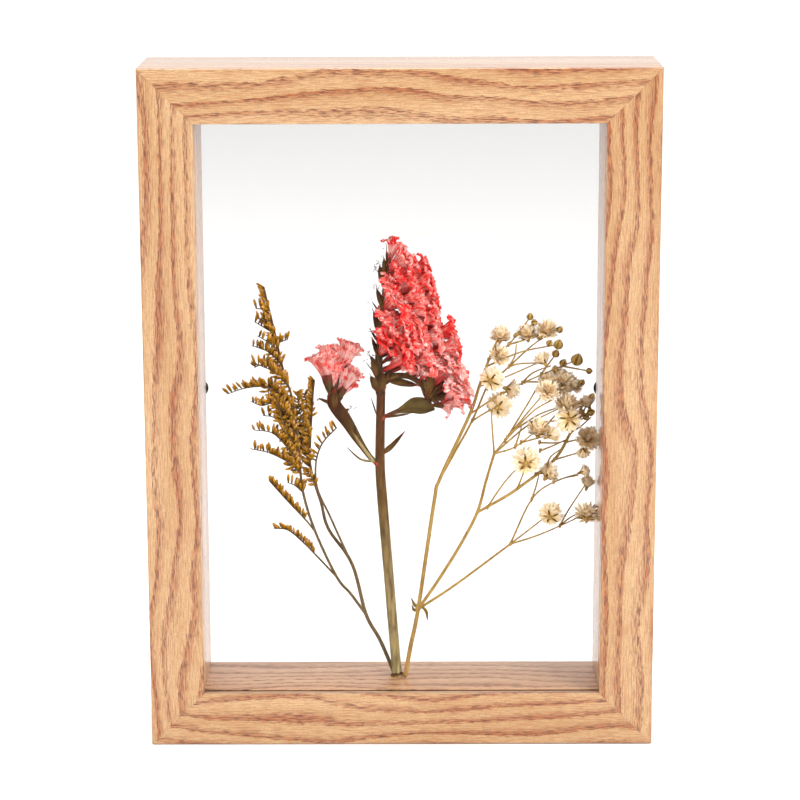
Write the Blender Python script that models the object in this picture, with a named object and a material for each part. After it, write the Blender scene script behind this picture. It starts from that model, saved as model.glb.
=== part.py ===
"""Pressed flower frame: a small double-glass wooden box frame with three dried flower stems in it.

Metres, +Z up. The origin is the middle of the frame's footprint, on the surface that it stands on.
The front faces -Y. Plant routes are written in millimetres as (across, back, up): across is measured
from the frame's middle to the right, back from the plane in which the flowers stand, and up from the
surface under the frame.
"""
import math
import random

import bmesh
import bpy
import numpy as np
from mathutils import Matrix, Vector

MM = 0.001

# Driving dimensions of the frame, in millimetres
FRAME_WIDTH = 160.0
FRAME_HEIGHT = 216.0
RAIL_WIDTH = 17.0
RAIL_DEPTH = 37.0
LIP_THICKNESS = 2.6
LIP_OVERLAP = 5.0
EASED_EDGE = 0.4
PANE_THICKNESS = 2.0
SPACER_BACK = 33.2
FIT_GAP = 0.2
TOUCH_GAP = 0.3
MITRE_GAP = 0.15

# Driving dimensions of the turn buttons and their screws, in millimetres
BUTTON_THICKNESS = 1.0
BUTTON_TIP_RADIUS = 2.9
BUTTON_REACH = 11.0
BUTTON_TAIL = 4.6
BUTTON_TAIL_HALF = 3.6
BUTTON_TIP_SHOWS = 0.5
SCREW_HEAD_RADIUS = 2.2
SCREW_HEAD_HEIGHT = 0.8
SCREW_SHANK_RADIUS = 1.0
SCREW_LENGTH = 9.0
SCREW_POINT = 1.5
BUTTON_HEIGHT_LEFT = 109.0
BUTTON_HEIGHT_RIGHT = 107.7
BUTTON_TILT_RIGHT = 7.0

# The flowers stand in this plane, measured back from the front face
PLANT_PLANE = 18.5

OVERALL_DEPTH = RAIL_DEPTH + FIT_GAP + BUTTON_THICKNESS + SCREW_HEAD_HEIGHT
FRONT_Y = -OVERALL_DEPTH / 2
HALF_WIDTH = FRAME_WIDTH / 2
PANE_BACK_OF_FRONT = LIP_THICKNESS + FIT_GAP + PANE_THICKNESS
SPACER_FRONT = PANE_BACK_OF_FRONT + FIT_GAP
REBATE = RAIL_WIDTH - LIP_OVERLAP


def clear_scene():
    """Removes whatever the file opened with."""
    for thing in list(bpy.data.objects):
        bpy.data.objects.remove(thing, do_unlink=True)


def linear(value):
    """An sRGB channel from 0 to 1 as a linear one."""
    if value <= 0.04045:
        return value / 12.92
    return ((value + 0.055) / 1.055) ** 2.4


def material(name, hex_colour, roughness, metallic=0.0, transmission=0.0):
    """A plain Principled material of one colour."""
    made = bpy.data.materials.new(name)
    made.use_nodes = True
    shader = made.node_tree.nodes["Principled BSDF"]
    channels = [int(hex_colour[i:i + 2], 16) / 255 for i in (1, 3, 5)]
    shader.inputs["Base Color"].default_value = [linear(c) for c in channels] + [1.0]
    shader.inputs["Roughness"].default_value = roughness
    shader.inputs["Metallic"].default_value = metallic
    shader.inputs["Transmission Weight"].default_value = transmission
    made.diffuse_color = [linear(c) for c in channels] + [1.0 - 0.7 * transmission]
    return made


def new_object(name, verts, faces, finish, smooth_angle=None):
    """An object from points in millimetres, with the front face of the frame at depth 0."""
    mesh = bpy.data.meshes.new(name)
    points = [((x) * MM, (FRONT_Y + y) * MM, z * MM) for x, y, z in verts]
    mesh.from_pydata(points, [], faces)
    mesh.materials.append(finish)
    mesh.update()
    made = bpy.data.objects.new(name, mesh)
    bpy.context.collection.objects.link(made)
    if smooth_angle is not None:
        mesh.shade_smooth()
        mesh.set_sharp_from_angle(angle=math.radians(smooth_angle))
    return made


# Frame


def mitred_rail(name, side, finish):
    """One rail: the moulding's profile carried between two mitred ends.

    A profile point is (in, back): in from the outer edge, back from the front face. At each end the
    rail is cut on the line from the outer corner to the inner one, less the mitre gap.
    """
    e = EASED_EDGE
    profile = [
        (0.0, e),
        (e, 0.0),
        (RAIL_WIDTH - e, 0.0),
        (RAIL_WIDTH, e),
        (RAIL_WIDTH, LIP_THICKNESS),
        (REBATE, LIP_THICKNESS),
        (REBATE, RAIL_DEPTH),
        (e, RAIL_DEPTH),
        (0.0, RAIL_DEPTH - e),
    ]
    length = FRAME_WIDTH if side in ("top", "bottom") else FRAME_HEIGHT
    half = length / 2
    centre = {
        "top": (0.0, FRAME_HEIGHT, 0.0),
        "bottom": (0.0, 0.0, 180.0),
        "left": (-HALF_WIDTH, FRAME_HEIGHT / 2, 90.0),
        "right": (HALF_WIDTH, FRAME_HEIGHT / 2, -90.0),
    }[side]
    turn = math.radians(centre[2])
    verts = []
    for end in (-1, 1):
        for inward, back in profile:
            along = end * (half - inward - MITRE_GAP)
            x = centre[0] + along * math.cos(turn) + inward * math.sin(turn)
            z = centre[1] + along * math.sin(turn) - inward * math.cos(turn)
            verts.append((x, back, z))
    count = len(profile)
    faces = [[i, (i + 1) % count, count + (i + 1) % count, count + i] for i in range(count)]
    faces.append(list(range(count))[::-1])
    faces.append(list(range(count, 2 * count)))
    rail = new_object(name, verts, faces, finish)
    face_outwards(rail)
    return rail


def face_outwards(thing):
    """Turns every face of a closed mesh outwards."""
    edit = bmesh.new()
    edit.from_mesh(thing.data)
    bmesh.ops.recalc_face_normals(edit, faces=edit.faces)
    edit.to_mesh(thing.data)
    edit.free()


def block(name, low, high, finish, eased=0.0):
    """A block between two corners in millimetres, with its edges eased if asked."""
    (x0, y0, z0), (x1, y1, z1) = low, high
    verts = [(x, y, z) for x in (x0, x1) for y in (y0, y1) for z in (z0, z1)]
    faces = [(0, 1, 3, 2), (4, 6, 7, 5), (0, 4, 5, 1), (2, 3, 7, 6), (0, 2, 6, 4), (1, 5, 7, 3)]
    made = new_object(name, verts, faces, finish)
    face_outwards(made)
    if eased:
        bevel = made.modifiers.new("eased edges", "BEVEL")
        bevel.width = eased * MM
        bevel.segments = 1
    return made


def drill_bit(name, x, z):
    """A cutter for the screw's clearance hole, through the button and into the rail behind it."""
    bpy.ops.mesh.primitive_cylinder_add(
        vertices=16,
        radius=(SCREW_SHANK_RADIUS + TOUCH_GAP) * MM,
        depth=2 * (SCREW_LENGTH + TOUCH_GAP) * MM,
        location=(x * MM, (FRONT_Y + RAIL_DEPTH) * MM, z * MM),
        rotation=(math.pi / 2, 0.0, 0.0),
    )
    bit = bpy.context.object
    bit.name = name
    bit.hide_render = True
    bit.display_type = "WIRE"
    return bit


def drill(thing, bit):
    """Cuts the screw's hole."""
    hole = thing.modifiers.new("screw hole", "BOOLEAN")
    hole.operation = "DIFFERENCE"
    hole.solver = "EXACT"
    hole.object = bit


def lathe(name, profile, sides, x, z, finish):
    """A turned piece on an axis along Y; profile points are (radius, back), from axis to axis."""
    verts = []
    rings = []
    for radius, back in profile:
        if radius == 0.0:
            rings.append([len(verts)])
            verts.append((x, back, z))
            continue
        ring = []
        for i in range(sides):
            angle = 2 * math.pi * i / sides
            ring.append(len(verts))
            verts.append((x + radius * math.cos(angle), back, z + radius * math.sin(angle)))
        rings.append(ring)
    faces = []
    for a, b in zip(rings, rings[1:]):
        for i in range(sides):
            j = (i + 1) % sides
            corners = [a[i % len(a)], a[j % len(a)], b[j % len(b)], b[i % len(b)]]
            faces.append(list(dict.fromkeys(corners)))
    made = new_object(name, verts, faces, finish, smooth_angle=40)
    face_outwards(made)
    return made


def button_outline(direction, tilt):
    """The turn button's outline about its pivot: a long rounded arm and a short rounded tail."""
    points = []
    tip = BUTTON_REACH - BUTTON_TIP_RADIUS
    for i in range(9):
        angle = math.radians(-80 + 20 * i)
        points.append((tip + BUTTON_TIP_RADIUS * math.cos(angle), BUTTON_TIP_RADIUS * math.sin(angle)))
    for i in range(9):
        angle = math.radians(110 + 17.5 * i)
        points.append((BUTTON_TAIL * math.cos(angle), BUTTON_TAIL_HALF * math.sin(angle)))
    turn = math.radians(tilt)
    turned = []
    for along, up in points:
        x = along * math.cos(turn) - up * math.sin(turn)
        z = along * math.sin(turn) + up * math.cos(turn)
        turned.append((direction * x, z))
    return turned


def turn_button(name, side, height, tilt, finish):
    """A flat stamped button that turns about its screw; its tip covers the edge of the back pane."""
    direction = -side
    reach = BUTTON_REACH * math.cos(math.radians(tilt))
    pivot_x = side * (HALF_WIDTH - RAIL_WIDTH - BUTTON_TIP_SHOWS + reach)
    outline = button_outline(direction, tilt)
    count = len(outline)
    near = RAIL_DEPTH + FIT_GAP
    verts = [(pivot_x + x, near, height + z) for x, z in outline]
    verts += [(pivot_x + x, near + BUTTON_THICKNESS, height + z) for x, z in outline]
    faces = [(i, (i + 1) % count, count + (i + 1) % count, count + i) for i in range(count)]
    faces += [tuple(range(count))[::-1], tuple(range(count, 2 * count))]
    made = new_object(name, verts, faces, finish)
    face_outwards(made)
    return made, pivot_x


def screw(name, x, z, finish):
    """A small pan-head screw through the button into the rail."""
    head_face = RAIL_DEPTH + FIT_GAP + BUTTON_THICKNESS + FIT_GAP
    top = OVERALL_DEPTH
    profile = [
        (0.0, RAIL_DEPTH - SCREW_LENGTH),
        (SCREW_SHANK_RADIUS, RAIL_DEPTH - SCREW_LENGTH + SCREW_POINT),
        (SCREW_SHANK_RADIUS, head_face),
        (SCREW_HEAD_RADIUS, head_face),
        (SCREW_HEAD_RADIUS * 0.93, head_face + 0.3 * (top - head_face)),
        (SCREW_HEAD_RADIUS * 0.6, top),
        (0.0, top),
    ]
    return lathe(name, profile, 14, x, z, finish)


# Plants: shapes are (points, faces) with points as numpy rows in millimetres


def smooth_route(points, steps):
    """A Catmull-Rom curve through the points, with so many steps between each two."""
    route = np.array(points, float)
    padded = np.vstack([2 * route[0] - route[1], route, 2 * route[-1] - route[-2]])
    made = []
    for i in range(1, len(padded) - 2):
        a, b, c, d = padded[i - 1:i + 3]
        for t in np.arange(steps) / steps:
            made.append(
                0.5 * (2 * b + (c - a) * t + (2 * a - 5 * b + 4 * c - d) * t ** 2
                       + (3 * b - a - 3 * c + d) * t ** 3)
            )
    made.append(route[-1])
    return np.array(made)


def in_box(points):
    """Plant coordinates (across, back, up) as the frame's (x, depth, z)."""
    return np.array(points, float) + np.array([0.0, PLANT_PLANE, 0.0])


def frame_of(direction):
    """Two unit vectors square to a direction and to each other."""
    forward = direction / np.linalg.norm(direction)
    helper = np.array([0.0, 1.0, 0.0]) if abs(forward[1]) < 0.9 else np.array([1.0, 0.0, 0.0])
    side = np.cross(helper, forward)
    side /= np.linalg.norm(side)
    return side, np.cross(forward, side)


def skin(rings, start, end):
    """A closed shape from rings of equal size, closed by a point at each end."""
    sides = len(rings[0])
    points = [start] + [p for ring in rings for p in ring] + [end]
    faces = []
    last = len(points) - 1
    for k in range(sides):
        j = (k + 1) % sides
        faces.append((0, 1 + j, 1 + k))
        for r in range(len(rings) - 1):
            a = 1 + r * sides
            b = a + sides
            faces.append((a + k, a + j, b + j))
            faces.append((a + k, b + j, b + k))
        a = 1 + (len(rings) - 1) * sides
        faces.append((a + k, a + j, last))
    return np.array(points), faces


def tube(points, radii, sides=6, steps=2, flat=1.0):
    """A stem: a round or flattened section carried along a smooth route, its radius eased between ends."""
    route = smooth_route(points, steps)
    reach = np.linspace(0, 1, len(route))
    radius = np.interp(reach, np.linspace(0, 1, len(radii)), radii)
    rings = []
    for i, centre in enumerate(route):
        ahead = route[min(i + 1, len(route) - 1)] - route[max(i - 1, 0)]
        side, up = frame_of(ahead)
        angles = 2 * np.pi * (np.arange(sides) + 0.5 * (i % 2)) / sides
        rings.append(
            centre + radius[i] * (np.outer(np.cos(angles), side) + flat * np.outer(np.sin(angles), up))
        )
    ahead = route[-1] - route[-2]
    behind = route[0] - route[1]
    start = route[0] + behind / np.linalg.norm(behind) * radius[0] * 0.3
    end = route[-1] + ahead / np.linalg.norm(ahead) * radius[-1] * 0.6
    return skin(rings, start, end)


def spindle(base, tip, radius, sides=5):
    """A spikelet or bract: a slim double cone with its widest ring past the middle."""
    base = np.array(base, float)
    tip = np.array(tip, float)
    side, up = frame_of(tip - base)
    angles = 2 * np.pi * np.arange(sides) / sides
    ring = base + 0.6 * (tip - base)
    ring = ring + radius * (np.outer(np.cos(angles), side) + np.outer(np.sin(angles), up))
    return skin([ring], base, tip)


def ball(centre, radius, sides=7, squash=0.8, towards=(0.0, 0.0, 1.0)):
    """A double flower: a round head, a little flattened along its own axis."""
    axis = np.array(towards, float)
    axis /= np.linalg.norm(axis)
    side, up = frame_of(axis)
    rings = []
    for height, width in ((-0.62, 0.72), (0.0, 1.0), (0.6, 0.78)):
        angles = 2 * np.pi * (np.arange(sides) + height) / sides
        middle = np.array(centre, float) + axis * height * radius * squash
        around = np.outer(np.cos(angles), side) + np.outer(np.sin(angles), up)
        rings.append(middle + width * radius * around)
    start = np.array(centre, float) - axis * radius * squash
    end = np.array(centre, float) + axis * radius * squash * 0.9
    return skin(rings, start, end)


def bud(centre, radius, towards):
    """A closed bud: an egg on a short neck, pointed in the way that it grows."""
    axis = np.array(towards, float)
    axis /= np.linalg.norm(axis)
    side, up = frame_of(axis)
    rings = []
    for height, width in ((-0.5, 0.75), (0.5, 0.8)):
        angles = 2 * np.pi * np.arange(5) / 5 + height
        middle = np.array(centre, float) + axis * height * radius
        around = np.outer(np.cos(angles), side) + np.outer(np.sin(angles), up)
        rings.append(middle + width * radius * around)
    centre = np.array(centre, float)
    return skin(rings, centre - axis * radius * 1.2, centre + axis * radius * 1.3)


def calyx(foot, mouth, radius, seed):
    """A papery statice flower: a funnel from its foot to a ruffled rim, hollow in the middle.

    The rings widen from a narrow neck to the rim; around the rim the radius and the height wave, and
    the inner ring and the last point lie lower than the rim, which makes the hollow.
    """
    chance = random.Random(seed)
    foot = np.array(foot, float)
    mouth = np.array(mouth, float)
    reach = mouth - foot
    side, up = frame_of(reach)
    sides = 8
    lobes = chance.choice((3, 4))
    phase = chance.uniform(0, 2 * math.pi)
    rings = []
    plan = ((0.4, 0.4, 0.25), (1.0, 1.0, 1.0), (0.86, 0.5, 0.6))
    for height, width, wave in plan:
        ring = []
        for i in range(sides):
            angle = 2 * math.pi * i / sides
            ruffle = wave * (0.14 * math.sin(lobes * angle + phase) + chance.uniform(-0.10, 0.10))
            lift = wave * (0.10 * math.cos(lobes * angle + 2 * phase) + chance.uniform(-0.05, 0.05))
            out = radius * width * (1 + ruffle)
            middle = foot + reach * (height + lift)
            ring.append(middle + out * (math.cos(angle) * side + math.sin(angle) * up))
        rings.append(np.array(ring))
    return skin(rings, foot, foot + reach * 0.55)


def leaf(points, widths, thickness=0.5):
    """A folded leaf: a lens-shaped section along its midrib, from a narrow base to a point."""
    route = smooth_route(points, 2)
    reach = np.linspace(0, 1, len(route))
    half = np.interp(reach, np.linspace(0, 1, len(widths)), widths) / 2
    rings = []
    for i, centre in enumerate(route):
        ahead = route[min(i + 1, len(route) - 1)] - route[max(i - 1, 0)]
        across = np.cross(ahead, np.array([0.0, 1.0, 0.0]))
        across /= np.linalg.norm(across)
        back = np.cross(across, ahead)
        back /= np.linalg.norm(back)
        h = half[i]
        rings.append(
            np.array(
                [
                    centre + across * h + back * 0.25 * h,
                    centre + back * thickness / 2,
                    centre - across * h + back * 0.25 * h,
                    centre - back * thickness / 2,
                ]
            )
        )
    return skin(rings, route[0] - (route[1] - route[0]) * 0.1, route[-1] + (route[-1] - route[-2]) * 0.2)


def shape_object(name, shape, finish):
    """A shape as an object whose faces point out."""
    points, faces = shape
    made = new_object(name, in_box(points), faces, finish)
    face_outwards(made)
    return made


def boolean(thing, others, operation):
    """Joins shapes to an object or cuts them from it, and keeps the result as its mesh."""
    group = bpy.data.collections.new("tools_of_" + thing.name)
    for other in others:
        group.objects.link(other)
    step = thing.modifiers.new("join", "BOOLEAN")
    step.operation = operation
    step.solver = "MANIFOLD"
    step.operand_type = "COLLECTION"
    step.collection = group
    graph = bpy.context.evaluated_depsgraph_get()
    result = bpy.data.meshes.new_from_object(thing.evaluated_get(graph))
    thing.modifiers.clear()
    thing.data = result
    for other in others:
        bpy.data.objects.remove(other, do_unlink=True)
    bpy.data.collections.remove(group)
    clean_up(thing.data)


def clean_up(mesh):
    """Makes triangles of the faces that a union left and drops shells shut inside the shape."""
    edit = bmesh.new()
    edit.from_mesh(mesh)
    bmesh.ops.triangulate(edit, faces=edit.faces)
    left = set(edit.faces)
    shells = []
    while left:
        pile = [left.pop()]
        shell = set(pile)
        while pile:
            face = pile.pop()
            for edge in face.edges:
                for other in edge.link_faces:
                    if other in left:
                        left.remove(other)
                        shell.add(other)
                        pile.append(other)
        shells.append(shell)
    largest = max(shells, key=len)
    spare = [face for shell in shells if shell is not largest for face in shell]
    if spare:
        bmesh.ops.delete(edit, geom=spare, context="FACES")
    loose = [v for v in edit.verts if not v.link_faces]
    bmesh.ops.delete(edit, geom=loose, context="VERTS")
    edit.to_mesh(mesh)
    edit.free()


def grown(name, shapes, finish, cut_by=(), keep=1.0):
    """One grown piece: its shapes joined to one solid, kept clear of what it grows from.

    keep is the share of its triangles that a crowded piece keeps, after the many small ones that lie
    along the seams of the union have gone.
    """
    made = shape_object(name, shapes[0], finish)
    extra = [shape_object(name + "_shape", shape, finish) for shape in shapes[1:]]
    if extra:
        boolean(made, extra, "UNION")
    if cut_by:
        cutters = [shape_object(name + "_cutter", shape, finish) for shape in cut_by]
        boolean(made, cutters, "DIFFERENCE")
    made.data.shade_smooth()
    made.data.set_sharp_from_angle(angle=math.radians(35))
    if keep < 1.0:
        thin = made.modifiers.new("fewer triangles", "DECIMATE")
        thin.ratio = keep
    return made


def comb(route, start, spacing, length, radius, seed, both=False, lean=0.6, bend=(0.0, 0.0, 1.0)):
    """Spikelets along the outer part of a twig, standing off it on one side or in turn on two."""
    chance = random.Random(seed)
    line = smooth_route(route, 2)
    steps = np.linalg.norm(np.diff(line, axis=0), axis=1)
    along = np.concatenate([[0.0], np.cumsum(steps)])
    total = along[-1]
    places = np.arange(start * total, total, spacing)
    shapes = []
    for count, place in enumerate(places):
        here = np.array([np.interp(place, along, line[:, k]) for k in range(3)])
        ahead = np.array([np.interp(min(place + 0.5, total), along, line[:, k]) for k in range(3)]) - here
        if np.linalg.norm(ahead) < 1e-6:
            ahead = line[-1] - line[-2]
        ahead /= np.linalg.norm(ahead)
        off = np.array(bend, float)
        if both and count % 2:
            off = off * np.array([-1.0, 1.0, 0.4])
        off = off - ahead * np.dot(off, ahead)
        off = off / max(np.linalg.norm(off), 1e-6)
        spread = np.array([chance.uniform(-0.25, 0.25), chance.uniform(-0.7, 0.7), chance.uniform(-0.2, 0.2)])
        way = off + ahead * lean + spread
        way /= np.linalg.norm(way)
        long = length * chance.uniform(0.8, 1.2)
        shapes.append(spindle(here, here + way * long, radius, sides=4))
    return shapes


# Sea lavender: thin wiry strands with one-sided combs of golden-brown spikelets

LAVENDER_FORK_LOW = (-11.5, 1.6, 37.4)
LAVENDER_FORK_STRANDS = (-15.9, 1.0, 54.6)
LAVENDER_FORK_TWIG = (-20.8, -0.5, 50.6)
LAVENDER_FORK_SPRAY = (-27.6, -0.5, 65.8)

LAVENDER_MAIN = [
    (-2.6, 2.6, 17.6), (-7.0, 2.2, 28.5), LAVENDER_FORK_LOW, LAVENDER_FORK_STRANDS, (-23.4, 0.7, 66.4),
    (-25.7, 1.2, 75.0), (-28.7, 2.2, 84.8), (-29.2, 2.6, 92.0), (-28.2, 2.6, 109.0), (-27.6, 2.6, 115.0),
]
LAVENDER_SECOND = [
    LAVENDER_FORK_STRANDS, (-18.3, -1.0, 60.5), (-22.8, -1.8, 71.3), (-26.7, -2.2, 80.5),
    (-27.1, -2.4, 89.0), (-25.0, -2.4, 95.5), (-20.4, -2.2, 100.6),
]
LAVENDER_LEFT = [
    LAVENDER_FORK_LOW, (-16.5, 0.0, 45.0), LAVENDER_FORK_TWIG, LAVENDER_FORK_SPRAY, (-31.4, -0.5, 79.0),
    (-32.5, -0.5, 91.0), (-34.0, -0.2, 107.3), (-37.3, 0.0, 119.0), (-39.8, 0.0, 131.0), (-43.1, 0.0, 145.6),
]
LAVENDER_SPRAY_LOW = [LAVENDER_FORK_SPRAY, (-30.8, -1.0, 70.1), (-36.4, -1.2, 76.3), (-42.2, -1.2, 83.0)]
LAVENDER_TWIG_LOW = [
    LAVENDER_FORK_TWIG, (-26.5, 0.8, 56.5), (-31.8, 1.0, 62.1), (-36.5, 1.0, 66.0), (-41.0, 1.0, 66.6),
]

# Laterals of the left branch: route, share of the route that stays bare, both sides or one
LAVENDER_LATERALS = [
    ([(-32.3, -0.5, 88.0), (-37.5, 0.6, 99.0), (-42.5, 1.0, 108.5), (-44.8, 1.0, 112.4),
      (-49.5, 1.0, 112.8), (-55.4, 1.0, 111.0)], 0.12, False),
    ([(-32.0, -0.5, 84.5), (-36.5, -1.4, 89.5), (-43.0, -1.6, 92.5), (-48.3, -1.6, 93.2)], 0.1, False),
    ([(-32.5, -0.5, 90.5), (-38.0, -2.0, 97.0), (-46.0, -2.4, 100.8)], 0.1, True),
    ([(-33.2, -0.3, 100.0), (-38.0, -1.6, 106.5), (-44.5, -2.0, 109.0)], 0.15, True),
    ([(-34.6, 0.0, 112.0), (-38.6, 1.8, 114.5), (-43.2, 2.0, 116.6)], 0.2, True),
    ([(-37.0, 0.0, 118.0), (-41.5, -0.8, 121.0), (-46.6, -1.0, 120.8)], 0.2, True),
    ([(-38.2, 0.0, 124.0), (-41.8, 1.2, 127.0), (-46.6, 1.4, 128.0)], 0.2, True),
    ([(-39.0, 0.0, 127.5), (-42.6, -1.2, 131.0), (-44.8, -1.4, 133.8)], 0.2, True),
    ([(-41.2, 0.0, 136.5), (-43.6, 0.6, 138.2), (-46.0, 0.8, 138.6)], 0.2, True),
]


def lavender_pieces(finish_stem, finish_spikes):
    """The sea lavender, split at its main forks."""
    main = tube(LAVENDER_MAIN, (0.6, 0.5, 0.4, 0.3), sides=5)
    around_main = tube(LAVENDER_MAIN, (0.9, 0.8, 0.7, 0.6), sides=6)
    left = tube(LAVENDER_LEFT, (0.5, 0.45, 0.4, 0.35, 0.25), sides=5)
    around_left = tube(LAVENDER_LEFT, (0.8, 0.75, 0.7, 0.65, 0.55), sides=6)
    column = LAVENDER_MAIN[6:]
    shapes = [main]
    shapes += comb(column, 0.05, 1.9, 3.0, 0.6, seed=1, both=True, bend=(-1.0, 0.0, 0.5))
    grown("sea_lavender_main", shapes, finish_spikes, keep=0.75)
    shapes = [tube(LAVENDER_SECOND, (0.42, 0.35, 0.28), sides=5)]
    shapes += comb(LAVENDER_SECOND, 0.74, 1.7, 3.0, 0.5, seed=2, bend=(-0.5, 0.0, 1.0))
    grown("sea_lavender_second", shapes, finish_spikes, cut_by=[around_main])
    shapes = [left]
    shapes += comb(LAVENDER_LEFT[7:], 0.1, 1.7, 3.0, 0.55, seed=3, both=True, bend=(-1.0, 0.0, 0.5))
    for number, (route, bare, both) in enumerate(LAVENDER_LATERALS):
        shapes.append(tube(route, (0.35, 0.28, 0.22), sides=4))
        shapes += comb(route, bare, 2.0, 2.9, 0.6, seed=10 + number, both=both, bend=(-0.35, 0.0, 1.0))
    grown("sea_lavender_left", shapes, finish_spikes, cut_by=[around_main], keep=0.5)
    shapes = [tube(LAVENDER_SPRAY_LOW, (0.35, 0.3, 0.22), sides=4)]
    shapes += comb(LAVENDER_SPRAY_LOW, 0.25, 1.6, 2.8, 0.6, seed=4, both=True, bend=(-0.2, 0.0, 1.0))
    grown("sea_lavender_spray_low", shapes, finish_spikes, cut_by=[around_left])
    shapes = [tube(LAVENDER_TWIG_LOW, (0.35, 0.3, 0.22), sides=4)]
    shapes += comb(LAVENDER_TWIG_LOW, 0.5, 1.9, 2.6, 0.5, seed=5, both=True, bend=(0.0, 0.0, 1.0))
    grown("sea_lavender_twig_low", shapes, finish_stem, cut_by=[around_left])


# Statice: a stout stem, a winged side branch, and papery funnel flowers crowded on one side of the top

STATICE_STEM = [
    (-1.5, 0.0, 17.8), (-2.1, 0.0, 24.0), (-4.3, 0.0, 53.0), (-6.1, 0.0, 76.0), (-6.8, 0.0, 89.2),
    (-6.4, 0.0, 111.2),
]
STATICE_RACHIS = [
    (-6.4, 0.0, 112.8), (-7.0, 0.0, 120.0), (-6.4, 0.3, 130.0), (-5.2, 0.2, 142.0), (-4.4, 0.0, 150.0),
    (-3.2, 0.0, 155.0),
]
STATICE_LOW_RACHIS = [(-6.5, 0.0, 114.0), (-1.0, -0.5, 117.0), (5.0, -0.5, 115.5), (12.0, -0.5, 107.5)]
STATICE_SIDE = [
    (-7.0, 0.0, 87.6), (-9.6, 0.0, 90.0), (-13.4, 0.0, 95.5), (-17.4, -0.5, 102.3), (-21.0, -0.8, 107.5),
    (-22.2, -0.8, 111.0),
]

# Flowers of the head: mouth (across, back, up) and radius of the ruffled rim
STATICE_HEAD_FLOWERS = [
    ((-2.6, 0.0, 158.6), 3.1), ((1.2, -2.0, 155.0), 3.4), ((7.4, 1.0, 152.4), 3.5),
    ((-0.6, -4.0, 149.8), 3.2), ((7.8, -2.4, 147.8), 3.8), ((-2.0, -5.4, 142.8), 4.4),
    ((5.6, -6.0, 143.4), 3.6), ((10.2, -0.6, 142.6), 3.4), ((-4.4, -6.0, 135.8), 3.8),
    ((3.0, -7.4, 136.0), 4.0), ((10.4, -3.2, 136.4), 4.0), ((-4.8, -5.2, 128.2), 4.6),
    ((3.0, -8.0, 128.4), 4.6), ((1.6, -5.6, 121.6), 5.0), ((12.2, -4.0, 130.6), 4.2),
    ((15.8, -1.4, 131.6), 3.4), ((15.8, -2.2, 125.6), 4.0), ((9.0, -6.0, 122.0), 4.4),
    ((2.4, 5.0, 152.4), 3.4), ((-1.4, 5.2, 144.4), 3.8), ((6.4, 6.4, 145.6), 3.8),
    ((-3.4, 6.4, 134.6), 4.0), ((4.8, 7.6, 137.4), 4.2), ((11.0, 4.6, 133.0), 4.0),
    ((-2.4, 7.0, 125.6), 4.4), ((6.0, 7.4, 127.6), 4.6), ((13.2, 4.6, 124.8), 4.2),
]
STATICE_LOW_FLOWERS = [
    ((15.4, -3.8, 118.6), 4.4), ((17.6, -2.6, 112.8), 4.4), ((18.6, -1.6, 107.0), 3.6),
    ((14.8, 3.6, 117.0), 4.2), ((17.8, 3.2, 110.6), 4.0),
]
STATICE_SIDE_FLOWERS = [
    ((-24.4, -0.6, 122.4), 4.4), ((-17.4, -2.6, 120.4), 5.0), ((-18.6, 2.4, 121.4), 4.4),
    ((-15.0, 0.2, 116.6), 3.6),
]
STATICE_FLOWER_LENGTH = 8.0

# The crowded flower tubes inside the head, as a core: centre line and radii
STATICE_CORE = [
    (-4.6, 0.0, 115.0), (0.6, 0.0, 123.0), (2.2, 0.0, 131.0), (2.0, 0.0, 139.0), (2.0, 0.0, 147.0),
    (-0.6, 0.0, 154.0),
]
STATICE_CORE_RADII = (2.2, 5.4, 6.0, 5.0, 3.8, 1.6)
STATICE_LOW_CORE = [(4.0, 0.0, 121.0), (10.0, 0.0, 117.5), (14.2, 0.0, 112.0), (15.4, 0.0, 106.4)]
STATICE_LOW_CORE_RADII = (3.6, 3.4, 3.2, 1.8)

# Olive bracts that clasp the flowers: foot, tip and radius
STATICE_HEAD_BRACTS = [
    ((-6.6, -0.6, 113.6), (-8.6, -1.6, 119.6), 1.3), ((-6.6, 0.8, 114.4), (-9.4, 1.4, 122.6), 1.2),
    ((-6.8, 0.0, 121.0), (-9.4, -0.6, 128.4), 1.1), ((-6.4, 0.0, 129.5), (-8.4, 0.6, 137.2), 1.0),
    ((-5.6, 0.0, 138.0), (-8.0, -0.6, 144.0), 1.0), ((-5.0, 0.0, 144.0), (-6.6, 0.4, 150.4), 1.0),
    ((-4.4, 0.0, 149.0), (-5.0, 0.0, 155.0), 0.9), ((-6.0, -0.8, 114.6), (-3.2, -2.6, 121.0), 1.3),
    ((-2.6, -0.8, 116.6), (2.6, -2.6, 118.4), 1.4), ((2.0, -0.8, 116.0), (8.0, -2.6, 117.8), 1.4),
    ((6.0, -0.6, 113.6), (11.0, -2.6, 115.4), 1.5), ((8.6, -0.6, 110.6), (14.0, -2.0, 112.6), 1.5),
    ((10.6, -0.5, 108.4), (16.0, -1.0, 107.6), 1.4), ((9.0, 0.4, 110.0), (14.0, 2.2, 113.0), 1.4),
    ((-1.0, 0.0, 116.6), (4.4, 0.6, 112.8), 1.1),
]


def nearest_on(route, point, lift):
    """The place on a route from which a flower at that point branches, so much lower than it."""
    line = smooth_route(route, 6)
    target = np.array(point, float) - np.array([0.0, 0.0, lift])
    return line[np.argmin(np.linalg.norm(line - target, axis=1))]


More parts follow.
